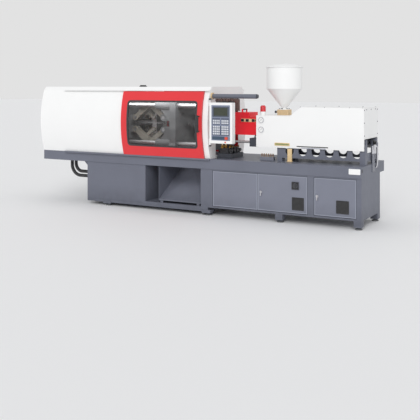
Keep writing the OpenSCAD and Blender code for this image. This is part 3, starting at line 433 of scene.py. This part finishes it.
def join_rings(bm, rings, closed=False):
    """The skin over a row of rings of vertices: capped at both ends, or closed into itself."""
    count = len(rings[0])
    following = rings[1:] + rings[:1] if closed else rings[1:]
    for first, second in zip(rings, following):
        for k in range(count):
            after = (k + 1) % count
            bm.faces.new((first[k], first[after], second[after], second[k]))
    if not closed:
        bm.faces.new(list(reversed(rings[0])))
        bm.faces.new(rings[-1])


def circle(segments):
    """The cosine and sine at each of a circle's equal steps."""
    turns = [2 * math.pi * k / segments for k in range(segments)]
    return [(math.cos(turn), math.sin(turn)) for turn in turns]


def add_box(bm, low, high):
    """A box between its lowest and highest corners."""
    centre = (Vector(low) + Vector(high)) / 2
    size = Vector(high) - Vector(low)
    place = Matrix.Translation(centre) @ Matrix.Diagonal((*size, 1))
    bmesh.ops.create_cube(bm, size=1, matrix=place)


def add_turned(bm, start, direction, profile, segments):
    """A turned form from start along direction: profile lists (distance, radius)."""
    turn = Vector(direction).to_track_quat("Z", "Y").to_matrix().to_4x4()
    place = Matrix.Translation(Vector(start)) @ turn
    join_rings(bm, [[bm.verts.new(place @ Vector((radius * cos, radius * sin, distance)))
                     for cos, sin in circle(segments)]
                    for distance, radius in profile])


def add_pipe(bm, points, radius, segments=14):
    """A round pipe through points, each ring square to the path."""
    points = [Vector(p) for p in points]
    rings = []
    side = None
    for i, point in enumerate(points):
        ahead = (points[min(i + 1, len(points) - 1)] - points[max(i - 1, 0)]).normalized()
        if side is None:
            side = ahead.orthogonal().normalized()
        side = (side - ahead * side.dot(ahead)).normalized()
        up = ahead.cross(side)
        rings.append([bm.verts.new(point + radius * (cos * side + sin * up))
                      for cos, sin in circle(segments)])
    join_rings(bm, rings)


def rounded(left, right, bottom, top, radius, steps=6):
    """The points of a rounded rectangle, in order, with this many steps in each corner."""
    points = []
    corners = ((right - radius, top - radius, 0), (left + radius, top - radius, 90),
               (left + radius, bottom + radius, 180), (right - radius, bottom + radius, 270))
    for x, z, start in corners:
        for k in range(steps + 1):
            angle = math.radians(start + 90 * k / steps)
            points.append((x + radius * math.cos(angle), z + radius * math.sin(angle)))
    return points


def square(centre_x, centre_z, half, radius, steps=6):
    """The points of a rounded square about a centre."""
    left, bottom = centre_x - half, centre_z - half
    return rounded(left, centre_x + half, bottom, centre_z + half, radius, steps)


def patch(low, right, up, width, height, radius, steps=6):
    """The points of a rounded rectangle, this far to the right of and above a box's low corner."""
    left, bottom = low.x + right, low.z + up
    return rounded(left, left + width, bottom, bottom + height, radius, steps)


def add_plate(bm, outline, y0, y1):
    """A plate with an outline in X and Z, between two places along Y."""
    join_rings(bm, [[bm.verts.new((x, y, z)) for x, z in outline] for y in (y0, y1)])


def add_bar(bm, outline, x0, x1):
    """A bar with an outline in Y and Z, between two places along X."""
    join_rings(bm, [[bm.verts.new((x, y, z)) for y, z in outline] for x in (x0, x1)])


def add_frame(bm, outer, inner, y0, y1):
    """A flat frame between two outlines with the same number of points."""
    loops = ((outer, y0), (inner, y0), (inner, y1), (outer, y1))
    join_rings(bm, [[bm.verts.new((x, y, z)) for x, z in outline] for outline, y in loops],
               closed=True)


def smooth_path(points, steps=6):
    """A smooth curve through all the points, with this many steps from each to the next."""
    points = [Vector(p) for p in points]
    ends = [2 * points[0] - points[1]] + points + [2 * points[-1] - points[-2]]
    path = []
    for a, b, c, d in zip(ends, ends[1:], ends[2:], ends[3:]):
        for k in range(steps):
            t = k / steps
            path.append(0.5 * (2 * b + (c - a) * t + (2 * a - 5 * b + 4 * c - d) * t * t
                               + (3 * b - a - 3 * c + d) * t * t * t))
    return path + [points[-1]]


def add_object(name, data):
    """Puts an object with this data into the scene."""
    made = bpy.data.objects.new(name, data)
    bpy.context.scene.collection.objects.link(made)
    return made


def piece(name, bm, material, body, bevel=0.0):
    """Makes the object of a bmesh, in its material, on its body."""
    bevelled_from, sharp_from = math.radians(40), math.radians(35)
    bmesh.ops.recalc_face_normals(bm, faces=bm.faces)
    mesh = bpy.data.meshes.new(name)
    bm.to_mesh(mesh)
    bm.free()
    made = add_object(name, mesh)
    mesh.materials.append(MATERIALS[material].material)
    if bevel:
        edge = made.modifiers.new("bevel", "BEVEL")
        edge.width = bevel
        edge.segments = 2
        edge.limit_method = "ANGLE"
        edge.angle_limit = bevelled_from
    mesh.shade_smooth()
    mesh.set_sharp_from_angle(angle=sharp_from)
    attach(made, body)


# The cabinet's doors

def vent(name, door, sheet_of, from_right, up):
    """A black grille over the slots of a door: a frame and slanted slats.

    sheet_of is the door whose box ends at the sheet: the right door's own box takes in a boss.
    """
    size, rim, depth, slats = 0.148, 0.010, 0.004, 9
    low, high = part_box(door)
    centre_x, centre_z = high.x - from_right, low.z + up
    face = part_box(sheet_of)[0].y
    front, back = face - depth, face - 0.0001
    half = size / 2
    open_half = half - rim
    bm = bmesh.new()
    outer = square(centre_x, centre_z, half, radius=0.006, steps=3)
    inner = square(centre_x, centre_z, open_half, radius=0.002, steps=3)
    add_frame(bm, outer, inner, front, back)
    pitch = 2 * open_half / slats
    slat_end = open_half + 0.001
    for k in range(slats):
        z = centre_z - open_half + k * pitch
        # Each slat rises to the back, past the foot of the next, so that nothing shows between.
        section = [(front + 0.0005, z), (face - 0.0004, z + pitch * 0.75),
                   (back, z + pitch * 1.02), (front + 0.0012, z + pitch * 0.2)]
        add_bar(bm, section, centre_x - slat_end, centre_x + slat_end)
    piece(name, bm, "black", door)


vent("vent_grille_right", "cabinet_door_right", "cabinet_door_left", 0.112, 0.110)
vent("vent_grille_end", "cabinet_door_end", "cabinet_door_end", 0.156, 0.114)


def switch_plate():
    """The dark square plate round the mains switch, open in the middle for the switch."""
    low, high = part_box("switch_knob")
    centre_x, centre_z = (low.x + high.x) / 2, (low.z + high.z) / 2
    half, opening, screws_at, thick = 0.044, 0.030, 0.035, 0.0012
    start_degrees = 3.2
    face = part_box("cabinet_door_right")[0].y
    bm = bmesh.new()
    outer = square(centre_x, centre_z, half, radius=0.006)
    angles = [math.radians(start_degrees + 360 * k / len(outer)) for k in range(len(outer))]
    inner = [(centre_x + opening * math.cos(a), centre_z + opening * math.sin(a)) for a in angles]
    add_frame(bm, outer, inner, face - thick, face + 0.0001)
    for x in (centre_x - screws_at, centre_x + screws_at):
        for z in (centre_z - screws_at, centre_z + screws_at):
            add_turned(bm, (x, face, z), TO_FRONT, ROUND_HEAD, 12)
    piece("switch_plate", bm, "black", "cabinet_door_right")


switch_plate()


# The safety doors: the rubber gasket round each window, on the door's curve

def door_surface(z):
    """How far from the machine's middle the outside of a safety door lies at a height."""
    bed_top, cover_top, bulge, width, door_out = 0.700, 1.545, 0.070, 0.450, 0.027
    half = (cover_top - bed_top) / 2
    middle = (bed_top + cover_top) / 2
    radius = (half * half + bulge * bulge) / (2 * bulge)
    axis = radius - width - bulge
    return math.sqrt((radius + door_out) ** 2 - (z - middle) ** 2) - axis


def split_sides(outline):
    """The outline with its long sides in parts, so that they can follow the door's curve."""
    long_side, parts = 0.1, 10
    points = []
    for (x, z), (next_x, next_z) in zip(outline, outline[1:] + outline[:1]):
        count = parts if math.hypot(next_x - x, next_z - z) > long_side else 1
        points += [(x + (next_x - x) * i / count, z + (next_z - z) * i / count)
                   for i in range(count)]
    return points


def gasket(name, side, body):
    """A rubber lip round the window: side is -1 at the front and 1 at the back."""
    over_door, over_window = 0.006, 0.016
    lip, seat, depth = 0.0030, 0.0020, 0.012
    low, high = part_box("front_window")
    outer = split_sides(rounded(low.x - over_door, high.x + over_door,
                                low.z - over_door, high.z + over_door, 0.046, 8))
    inner = split_sides(rounded(low.x + over_window, high.x - over_window,
                                low.z + over_window, high.z - over_window, 0.030, 8))
    loops = ((outer, -seat), (outer, lip), (inner, lip), (inner, -depth))
    bm = bmesh.new()
    join_rings(bm, [[bm.verts.new((x, side * (door_surface(z) + out), z)) for x, z in outline]
                    for outline, out in loops], closed=True)
    piece(name, bm, "rubber", body)


gasket("front_gasket", -1, "front_door")
gasket("rear_gasket", 1, "rear_door")


# The control panel

def panel_details():
    """The screen and its rim, the dark fields under the keys, the strip and the small lamp."""
    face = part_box("control_panel")[0].y
    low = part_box("panel_face")[0]
    screen_back, plate_back = face + 0.0019, face + 0.0004
    key_fields = ((0.012, 0.189, 0.111, 0.082), (0.132, 0.189, 0.111, 0.082),
                  (0.012, 0.059, 0.231, 0.120))
    strip_lamps, first_lamp, lamp_pitch = 4, 0.038, 0.034
    strip_lamp = ((0, 0.0075), (0.003, 0.0075), (0.004, 0.006))
    lamp_x, lamp_z = low.x + 0.190, low.z - 0.019
    lamp_collar = ((0, 0.009), (0.004, 0.009), (0.005, 0.0075))
    lamp_dome = ((0, 0.0068), (0.005, 0.0062), (0.008, 0.0038), (0.009, 0.001))

    bm = bmesh.new()
    outer = patch(low, 0.015, 0.283, 0.225, 0.126, 0.008)
    inner = patch(low, 0.034, 0.298, 0.187, 0.096, 0.004)
    add_frame(bm, outer, inner, face - 0.003, screen_back)
    piece("screen_rim", bm, "screen_rim", "control_panel", bevel=0.0008)

    bm = bmesh.new()
    add_plate(bm, patch(low, 0.030, 0.294, 0.195, 0.104, 0.006), face + 0.0002, screen_back)
    piece("screen_glass", bm, "screen", "control_panel")

    bm = bmesh.new()
    for right, up, width, height in key_fields:
        add_plate(bm, patch(low, right, up, width, height, 0.006), face - 0.0006, plate_back)
    piece("key_fields", bm, "key_field", "control_panel")

    bm = bmesh.new()
    add_plate(bm, patch(low, 0.012, 0.010, 0.170, 0.040, 0.006), face - 0.0008, plate_back)
    for k in range(strip_lamps):
        place = (low.x + first_lamp + k * lamp_pitch, face - 0.0006, low.z + 0.030)
        add_turned(bm, place, TO_FRONT, strip_lamp, 20)
    piece("panel_strip", bm, "strip", "control_panel")

    bm = bmesh.new()
    add_turned(bm, (lamp_x, face, lamp_z), TO_FRONT, lamp_collar, 20)
    add_turned(bm, (lamp_x, face - 0.004, lamp_z), TO_FRONT, lamp_dome, 20)
    piece("panel_lamp", bm, "button", "control_panel")


panel_details()


def hinge_clamps():
    """The dark clamps at the ends of the panel's hinge rod."""
    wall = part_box("top_cover")[1].x
    low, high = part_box("control_panel")
    past_panel, rod_y, ring_half, arm_half = 0.040, -0.500, 0.009, 0.0085
    ring = ((0, 0.0155), (0.003, 0.017), (0.015, 0.017), (0.018, 0.0155))
    bm = bmesh.new()
    for z in (low.z - past_panel, high.z + past_panel):
        add_turned(bm, (wall + 0.025, rod_y, z - ring_half), UP, ring, 24)
        add_box(bm, (wall - 0.004, -0.470, z - arm_half), (wall + 0.012, -0.442, z + arm_half))
    piece("hinge_clamps", bm, "black", "root")


hinge_clamps()


# The injection unit

def gauge(name, right, up):
    """A dial gauge on the cover: a chrome bezel, a white dial with its ticks, and a needle."""
    radius, steps, sweep, long_every = 0.036, 24, 270, 4
    short_tick = (radius - 0.0105, 0.0007)
    long_tick = (radius - 0.0135, 0.0011)
    ticks_end = radius - 0.0075
    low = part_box("injection_hood")[0]
    x, face, z = low.x + right, low.y, low.z + up
    dial_radius, dial_back, dial_thick = radius - 0.0058, face - 0.0095, 0.0015
    mark_y, mark_thick, needle_y = face - 0.0113, 0.0006, face - 0.0125
    hub = ((0, 0.003), (0.0025, 0.003), (0.003, 0.002))
    bezel = ((0, radius), (0.010, radius), (0.014, radius - 0.002), (0.014, radius - 0.005),
             (0.0105, radius - 0.006))

    bm = bmesh.new()
    add_turned(bm, (x, face + SUNK, z), TO_FRONT, bezel, 40)
    piece(name + "_bezel", bm, "chrome", "carriage")

    bm = bmesh.new()
    add_turned(bm, (x, dial_back, z), TO_FRONT, ((0, dial_radius), (dial_thick, dial_radius)), 40)
    piece(name + "_dial", bm, "white", "carriage")

    bm = bmesh.new()
    for k in range(steps + 1):
        angle = math.radians(k * sweep / steps - sweep / 2)
        start, half = short_tick if k % long_every else long_tick
        along = Vector((math.sin(angle), 0, math.cos(angle)))
        side = Vector((math.cos(angle), 0, -math.sin(angle)))
        outline = ((start, -half), (start, half), (ticks_end, half), (ticks_end, -half))
        corners = [Vector((x, mark_y, z)) + along * r + side * s for r, s in outline]
        top = [bm.verts.new(corner) for corner in corners]
        bottom = [bm.verts.new(corner + Vector((0, mark_thick, 0))) for corner in corners]
        bm.faces.new(top)
        for i in range(4):
            bm.faces.new((top[i], top[(i + 1) % 4], bottom[(i + 1) % 4], bottom[i]))
    needle = [(x - 0.006, needle_y, z - 0.006), (x, needle_y, z), (x + 0.016, needle_y, z + 0.014)]
    add_pipe(bm, needle, radius=0.0010, segments=8)
    add_turned(bm, (x, face - 0.011, z), TO_FRONT, hub, 16)
    piece(name + "_marks", bm, "black", "carriage")


gauge("gauge_upper", 0.068, 0.326)
gauge("gauge_lower", 0.068, 0.211)


def hood_details():
    """On the injection cover: a black plate behind its slot as painted shade, the pull under it,
    the sight strip and the screws.
    """
    low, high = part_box("injection_hood")
    front, end, roof = low.y, high.x, high.z
    screw_y = 0.255

    # A black plate behind the slot: painted shade for the dark inside of the opening.
    bm = bmesh.new()
    add_plate(bm, patch(low, 0.520, 0.013, 0.406, 0.022, 0.006), front + 0.0021, front + 0.0040)
    piece("slot_shade_plate", bm, "black", "carriage")

    bm = bmesh.new()
    add_plate(bm, patch(low, 0.588, 0.004, 0.300, 0.008, 0.0035), front - 0.004, front + SUNK)
    piece("cover_pull", bm, "light_grey", "carriage", bevel=0.001)

    bm = bmesh.new()
    outer = patch(low, 0.245, 0.024, 0.195, 0.036, 0.008)
    inner = patch(low, 0.254, 0.032, 0.177, 0.020, 0.004)
    add_frame(bm, outer, inner, front - 0.006, front + SUNK)
    piece("sight_frame", bm, "cream", "carriage", bevel=0.001)

    bm = bmesh.new()
    add_plate(bm, patch(low, 0.252, 0.030, 0.181, 0.024, 0.004), front - 0.0035, front + SUNK)
    piece("sight_strip", bm, "olive", "carriage")

    screws = [((end - SUNK, y, low.z + up), TO_RIGHT)
              for up in (0.038, 0.173, 0.318, 0.463) for y in (-screw_y, screw_y)]
    screws += [((end - SUNK, y, roof - 0.020), TO_RIGHT) for y in (-0.170, 0.0, 0.170)]
    screws += [((end - back, y, roof - SUNK), UP)
               for back in (0.775, 0.475, 0.175, 0.020) for y in (-screw_y, screw_y)]
    bm = bmesh.new()
    for place, direction in screws:
        add_turned(bm, place, direction, HEX_HEAD, 6)
    piece("hood_screws", bm, "dark_metal", "carriage")


hood_details()


def guard_details():
    """On the red guard: the cream terminal strip, its dark sockets and the sleeve of the handle."""
    low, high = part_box("barrel_guard")
    front = low.y
    strip_front = front - 0.0035

    bm = bmesh.new()
    add_plate(bm, patch(low, 0.092, 0.162, 0.198, 0.040, 0.004), front - 0.0040, front + SUNK)
    piece("terminal_strip", bm, "cream", "carriage", bevel=0.0008)

    bm = bmesh.new()
    for right in (0.096, 0.162, 0.246):
        outer = patch(low, right, 0.166, 0.038, 0.032, 0.005)
        inner = patch(low, right + 0.006, 0.172, 0.026, 0.020, 0.003)
        floor = patch(low, right + 0.005, 0.171, 0.028, 0.022, 0.003)
        add_frame(bm, outer, inner, front - 0.013, strip_front)
        add_plate(bm, floor, front - 0.009, strip_front)
    piece("terminal_sockets", bm, "black", "carriage")

    bm = bmesh.new()
    grip = rounded(-0.052, 0.052, high.z - 0.0145, high.z + 0.0025, 0.006)
    add_bar(bm, grip, low.x + 0.0665, low.x + 0.0895)
    piece("guard_grip", bm, "black", "carriage", bevel=0.002)


guard_details()


def cylinder_ports():
    """The two black fittings on the carriage cylinder, and the hard line from the left one."""
    low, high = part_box("carriage_cylinder")
    left_x, right_x, y = low.x + 0.050, high.x - 0.040, (low.y + high.y) / 2
    fitting = ((0, 0.012), (0.016, 0.012), (0.017, 0.009), (0.024, 0.009))
    line = [(left_x, y, high.z + 0.013), (left_x + 0.004, y - 0.005, high.z + 0.028),
            (left_x + 0.025, y - 0.015, high.z + 0.034),
            (left_x + 0.045, y - 0.019, high.z + 0.034)]
    bm = bmesh.new()
    for x in (left_x, right_x):
        add_turned(bm, (x, y, high.z - 0.007), UP, fitting, 6)
    add_pipe(bm, smooth_path(line), radius=0.006)
    piece("cylinder_ports", bm, "black", "carriage")


cylinder_ports()


def hopper_details():
    """The bolts of the hopper's foot and the knob of its slide."""
    low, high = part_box("hopper")
    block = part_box("hopper_base")[0]
    centre_x, flange = (low.x + high.x) / 2, low.z + 0.008
    bolt_circle, bolts, first_degrees = 0.058, 6, 30
    bolt = ((0, 0.0075), (0.007, 0.0075), (0.008, 0.005))
    knob = ((0, 0.009), (0.010, 0.009), (0.012, 0.016), (0.028, 0.017), (0.032, 0.012))
    bm = bmesh.new()
    for k in range(bolts):
        angle = math.radians(first_degrees + k * 360 / bolts)
        x = centre_x + bolt_circle * math.cos(angle)
        add_turned(bm, (x, bolt_circle * math.sin(angle), flange), UP, bolt, 6)
    add_turned(bm, (block.x + 0.002, 0, block.z + 0.049), TO_LEFT, knob, 24)
    piece("hopper_bolts", bm, "dark_metal", "carriage")


hopper_details()


# The bed, the roof and the overhead arm

def bed_details():
    """The blank plate, the two slots at the bed's right end drawn as black strips of painted shade,
    and the cream post on it.
    """
    bed_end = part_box("bed_frame")[1].x
    bed_front = -0.450
    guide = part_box("guide_base")[0]
    bed_top = guide.z

    bm = bmesh.new()
    outline = rounded(bed_end - 0.143, bed_end - 0.010, bed_top - 0.083, bed_top - 0.021, 0.004)
    add_plate(bm, outline, bed_front - 0.0015, bed_front + 0.0002)
    piece("blank_plate", bm, "white", "root")

    # Black strips on the end face: painted shade for two slots.
    bm = bmesh.new()
    for y in (bed_front + 0.022, bed_front + 0.050):
        outline = rounded(y - 0.006, y + 0.006, bed_top - 0.064, bed_top - 0.024, 0.005)
        add_bar(bm, outline, bed_end - SUNK, bed_end + 0.001)
    piece("end_slot_shade", bm, "black", "root")

    bm = bmesh.new()
    add_plate(bm, patch(guide, 0.140, 0, 0.056, 0.155, 0.004), guide.y - 0.0180, guide.y - 0.0015)
    add_box(bm, (guide.x + 0.134, guide.y - 0.0260, bed_top),
            (guide.x + 0.202, guide.y - 0.0005, bed_top + 0.008))
    piece("cream_post", bm, "cream", "root", bevel=0.002)


bed_details()


def roof_block():
    """The small black block on the clamp's roof, with three buttons in its front."""
    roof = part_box("top_cover")[1].z
    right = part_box("side_covers")[1].x - 0.010
    foot_length, body_length, foot_half, body_half = 0.078, 0.062, 0.040, 0.030
    button = ((0, 0.005), (0.006, 0.005), (0.007, 0.003))
    bm = bmesh.new()
    add_box(bm, (right - foot_length, -foot_half, roof - 0.0003), (right, foot_half, roof + 0.008))
    add_box(bm, (right - 0.008 - body_length, -body_half, roof + 0.0075),
            (right - 0.008, body_half, roof + 0.022))
    for back in (0.060, 0.040, 0.020):
        add_turned(bm, (right - back, -body_half + 0.0001, roof + 0.015), TO_FRONT, button, 12)
    piece("roof_block", bm, "black", "root", bevel=0.0015)


roof_block()


def rear_pipe():
    """The bright pipe that leaves the valve at the bed's right end, and the valve's black lever."""
    low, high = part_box("rear_valve")
    x, foot, top = high.x - 0.019, low.z, high.z
    down_y = 0.094
    path = [(x, 0.012, foot + 0.285), (x, 0.045, foot + 0.290), (x, 0.078, foot + 0.278),
            (x, 0.092, foot + 0.250), (x, down_y, foot + 0.210), (x, down_y, foot + 0.110),
            (x - 0.004, down_y, foot + 0.065), (x - 0.014, down_y, foot + 0.045),
            (x - 0.024, down_y, foot + 0.040)]
    collar = ((0, 0.015), (0.026, 0.015), (0.029, 0.012))
    hub = ((0, 0.012), (0.016, 0.012), (0.019, 0.008))

    bm = bmesh.new()
    add_pipe(bm, smooth_path(path, steps=8), radius=0.0115)
    add_turned(bm, (x, down_y, foot + 0.182), UP, collar, 20)
    piece("rear_pipe", bm, "chrome", "root")

    bm = bmesh.new()
    add_box(bm, (x - 0.009, -0.052, top - 0.006), (x + 0.009, 0.030, top + 0.007))
    add_turned(bm, (x, -0.047, top - 0.001), UP, hub, 20)
    piece("valve_lever", bm, "black", "root", bevel=0.002)


rear_pipe()


def arm_details():
    """The connectors strapped under the overhead arm, and the box that hangs at their end."""
    low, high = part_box("overhead_arm")
    start, middle, bottom = low.x, (low.y + high.y) / 2, low.z
    under = bottom + 0.006
    first, pitch, stagger = 0.056, 0.037, 0.003
    heights_and_widths = ((0.026, 0.024), (0.020, 0.030), (0.030, 0.022), (0.022, 0.026),
                          (0.028, 0.030), (0.018, 0.024), (0.026, 0.028), (0.030, 0.022))
    plug = ((0, 0.008), (0.010, 0.008), (0.012, 0.005))

    bm = bmesh.new()
    add_box(bm, (start + 0.050, middle - 0.016, bottom + 0.0055),
            (start + 0.362, middle + 0.016, bottom + 0.0125))
    for k, (tall, wide) in enumerate(heights_and_widths):
        x, front = start + first + k * pitch, middle - 0.022 + stagger * (k % 2)
        add_box(bm, (x, front, under - tall), (x + wide, middle + 0.020, under))
    for along in (0.130, 0.250, 0.350):
        add_box(bm, (start + along, middle - 0.012, bottom + 0.011),
                (start + along + 0.009, middle + 0.012, bottom + 0.023))
    piece("arm_connectors", bm, "connector", "root", bevel=0.0015)

    bm = bmesh.new()
    add_box(bm, (start + 0.338, middle - 0.020, bottom - 0.123),
            (start + 0.376, middle + 0.018, bottom + 0.007))
    add_box(bm, (start + 0.334, middle - 0.024, bottom - 0.133),
            (start + 0.380, middle + 0.022, bottom - 0.121))
    for down in (0.098, 0.068, 0.038):
        add_turned(bm, (start + 0.357, middle - 0.0199, bottom - down), TO_FRONT, plug, 16)
    piece("arm_box", bm, "connector", "root", bevel=0.0015)


arm_details()


def hard_lines():
    """Pipes and fittings between the platen guard's wall and the valve block."""
    wall_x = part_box("top_cover")[1].x - SUNK
    block, block_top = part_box("valve_block")[0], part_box("valve_block")[1].z
    plugs, plug_x, first_plug, plug_pitch = 4, block.x + 0.150, block.y + 0.048, 0.078
    # Each line as the distance behind the block's front, the distance to the right of its left
    # side where it comes down, and the height above its top at which it leaves the wall.
    cream_runs = ((0.015, 0.060, 0.101), (0.055, 0.095, 0.071))
    black_runs = ((0.095, 0.045, 0.086), (0.150, 0.110, 0.111), (0.210, 0.070, 0.071))
    line_nut = ((0, 0.016), (0.016, 0.016), (0.018, 0.013), (0.034, 0.013))
    plug = ((0, 0.011), (0.010, 0.011), (0.012, 0.007), (0.020, 0.007))

    def lines(name, runs, straight, radius, material, slot):
        bm = bmesh.new()
        for behind, right, up in runs:
            x, y, top = block.x + right, block.y + behind, block_top + up
            path = [(wall_x, y, top), (wall_x + straight, y, top), (x - 0.015, y, top - 0.014),
                    (x, y, top - 0.05), (x, y, block_top + 0.031), (x, y, block_top - 0.001)]
            add_pipe(bm, smooth_path(path), radius)
        piece(name, bm, material, "root")

    lines("cream_lines", cream_runs, 0.0355, 0.009, "cream", "base_tan")
    lines("black_lines", black_runs, 0.0305, 0.011, "rubber", "hose_black")

    bm = bmesh.new()
    for behind, right, _ in cream_runs + black_runs:
        add_turned(bm, (block.x + right, block.y + behind, block_top - 0.003), UP, line_nut, 6)
    for k in range(plugs):
        add_turned(bm, (plug_x, first_plug + k * plug_pitch, block_top), UP, plug, 6)
    piece("line_fittings", bm, "brass", "root")


hard_lines()


# Stage, light and camera

BACKGROUND = colour(226, 226, 226)
WORLD_LIGHT = 0.68
WORLD_TINT = (0.97, 0.98, 1.0, 1)
SUN_LIGHT = 1.30
SUN_FROM = Vector((0.30, -0.81, 0.50))
SUN_WIDTH = math.radians(32)
WORK_LIGHT = 4.8
WORK_LIGHT_LENGTH = 1.3
WORK_LIGHT_WIDTH = 0.18
WORK_LIGHT_PLACE = (-0.42, -0.38, 1.44)
WORK_LIGHT_AIM = Vector((-0.42, 0.05, 1.02))
PICTURE_WIDTH = 420
FOCAL_PIXELS = 721
AXIS_PIXEL = (213, 86)
CAMERA_PLACE = (4.738, -8.191, 1.600)
CAMERA_TURN = math.radians(29.1)


def floor_plane():
    """A pale floor that runs out of view."""
    half_width = 60
    bm = bmesh.new()
    bmesh.ops.create_grid(bm, x_segments=1, y_segments=1, size=half_width)
    mesh = bpy.data.meshes.new("floor")
    bm.to_mesh(mesh)
    bm.free()
    floor = add_object("floor", mesh)
    shader = Shader("floor", 0.7)
    tone = lighter(BACKGROUND, 0.55)
    shader.colour(shader.mix(shader.noise(scale=0.6, detail=2), tone, darker(tone, 0.99)))
    mesh.materials.append(shader.material)


def studio_world():
    """An even light from all round, which to the eye is the plain background, in mirrors too."""
    world = bpy.data.worlds.new("studio")
    bpy.context.scene.world = world
    world.use_nodes = True
    tree = world.node_tree
    output = tree.nodes["World Output"]
    shown = tree.nodes["Background"]
    shown.inputs["Color"].default_value = BACKGROUND
    light = tree.nodes.new("ShaderNodeBackground")
    light.inputs["Color"].default_value = WORLD_TINT
    light.inputs["Strength"].default_value = WORLD_LIGHT
    path = tree.nodes.new("ShaderNodeLightPath")
    seen = path.outputs["Is Camera Ray"]
    for ray in ("Is Transmission Ray", "Is Glossy Ray"):
        either = tree.nodes.new("ShaderNodeMath")
        either.operation = "MAXIMUM"
        tree.links.new(seen, either.inputs[0])
        tree.links.new(path.outputs[ray], either.inputs[1])
        seen = either.outputs["Value"]
    mix = tree.nodes.new("ShaderNodeMixShader")
    tree.links.new(seen, mix.inputs["Fac"])
    tree.links.new(light.outputs["Background"], mix.inputs[1])
    tree.links.new(shown.outputs["Background"], mix.inputs[2])
    tree.links.new(mix.outputs["Shader"], output.inputs["Surface"])


def sun():
    """The soft main light, from above the front and a little from the right."""
    data = bpy.data.lights.new("sun", "SUN")
    data.energy = SUN_LIGHT
    data.angle = SUN_WIDTH
    lamp = add_object("sun", data)
    lamp.rotation_euler = SUN_FROM.to_track_quat("Z", "Y").to_euler()


def work_light():
    """The soft light inside the clamp's covers, over the front edge of the mould area."""
    data = bpy.data.lights.new("work_light", "AREA")
    data.shape = "RECTANGLE"
    data.size = WORK_LIGHT_LENGTH
    data.size_y = WORK_LIGHT_WIDTH
    data.energy = WORK_LIGHT
    lamp = add_object("work_light", data)
    lamp.location = WORK_LIGHT_PLACE
    lamp.rotation_euler = (WORK_LIGHT_AIM - lamp.location).to_track_quat("-Z", "Y").to_euler()
    lamp.visible_camera = False


def camera():
    """The photograph's camera: level, at eye height, with its frame shifted down.

    AXIS_PIXEL is where the camera's axis meets the square picture.
    """
    sensor = 36
    data = bpy.data.cameras.new("camera")
    data.sensor_width = sensor
    data.lens = sensor * FOCAL_PIXELS / PICTURE_WIDTH
    data.shift_x = (PICTURE_WIDTH / 2 - AXIS_PIXEL[0]) / PICTURE_WIDTH
    data.shift_y = (AXIS_PIXEL[1] - PICTURE_WIDTH / 2) / PICTURE_WIDTH
    data.clip_end = 200
    made = add_object("camera", data)
    made.location = CAMERA_PLACE
    made.rotation_euler = (math.radians(90), 0, CAMERA_TURN)
    bpy.context.scene.camera = made


floor_plane()
studio_world()
sun()
work_light()
camera()
bpy.context.scene.view_settings.view_transform = "Standard"
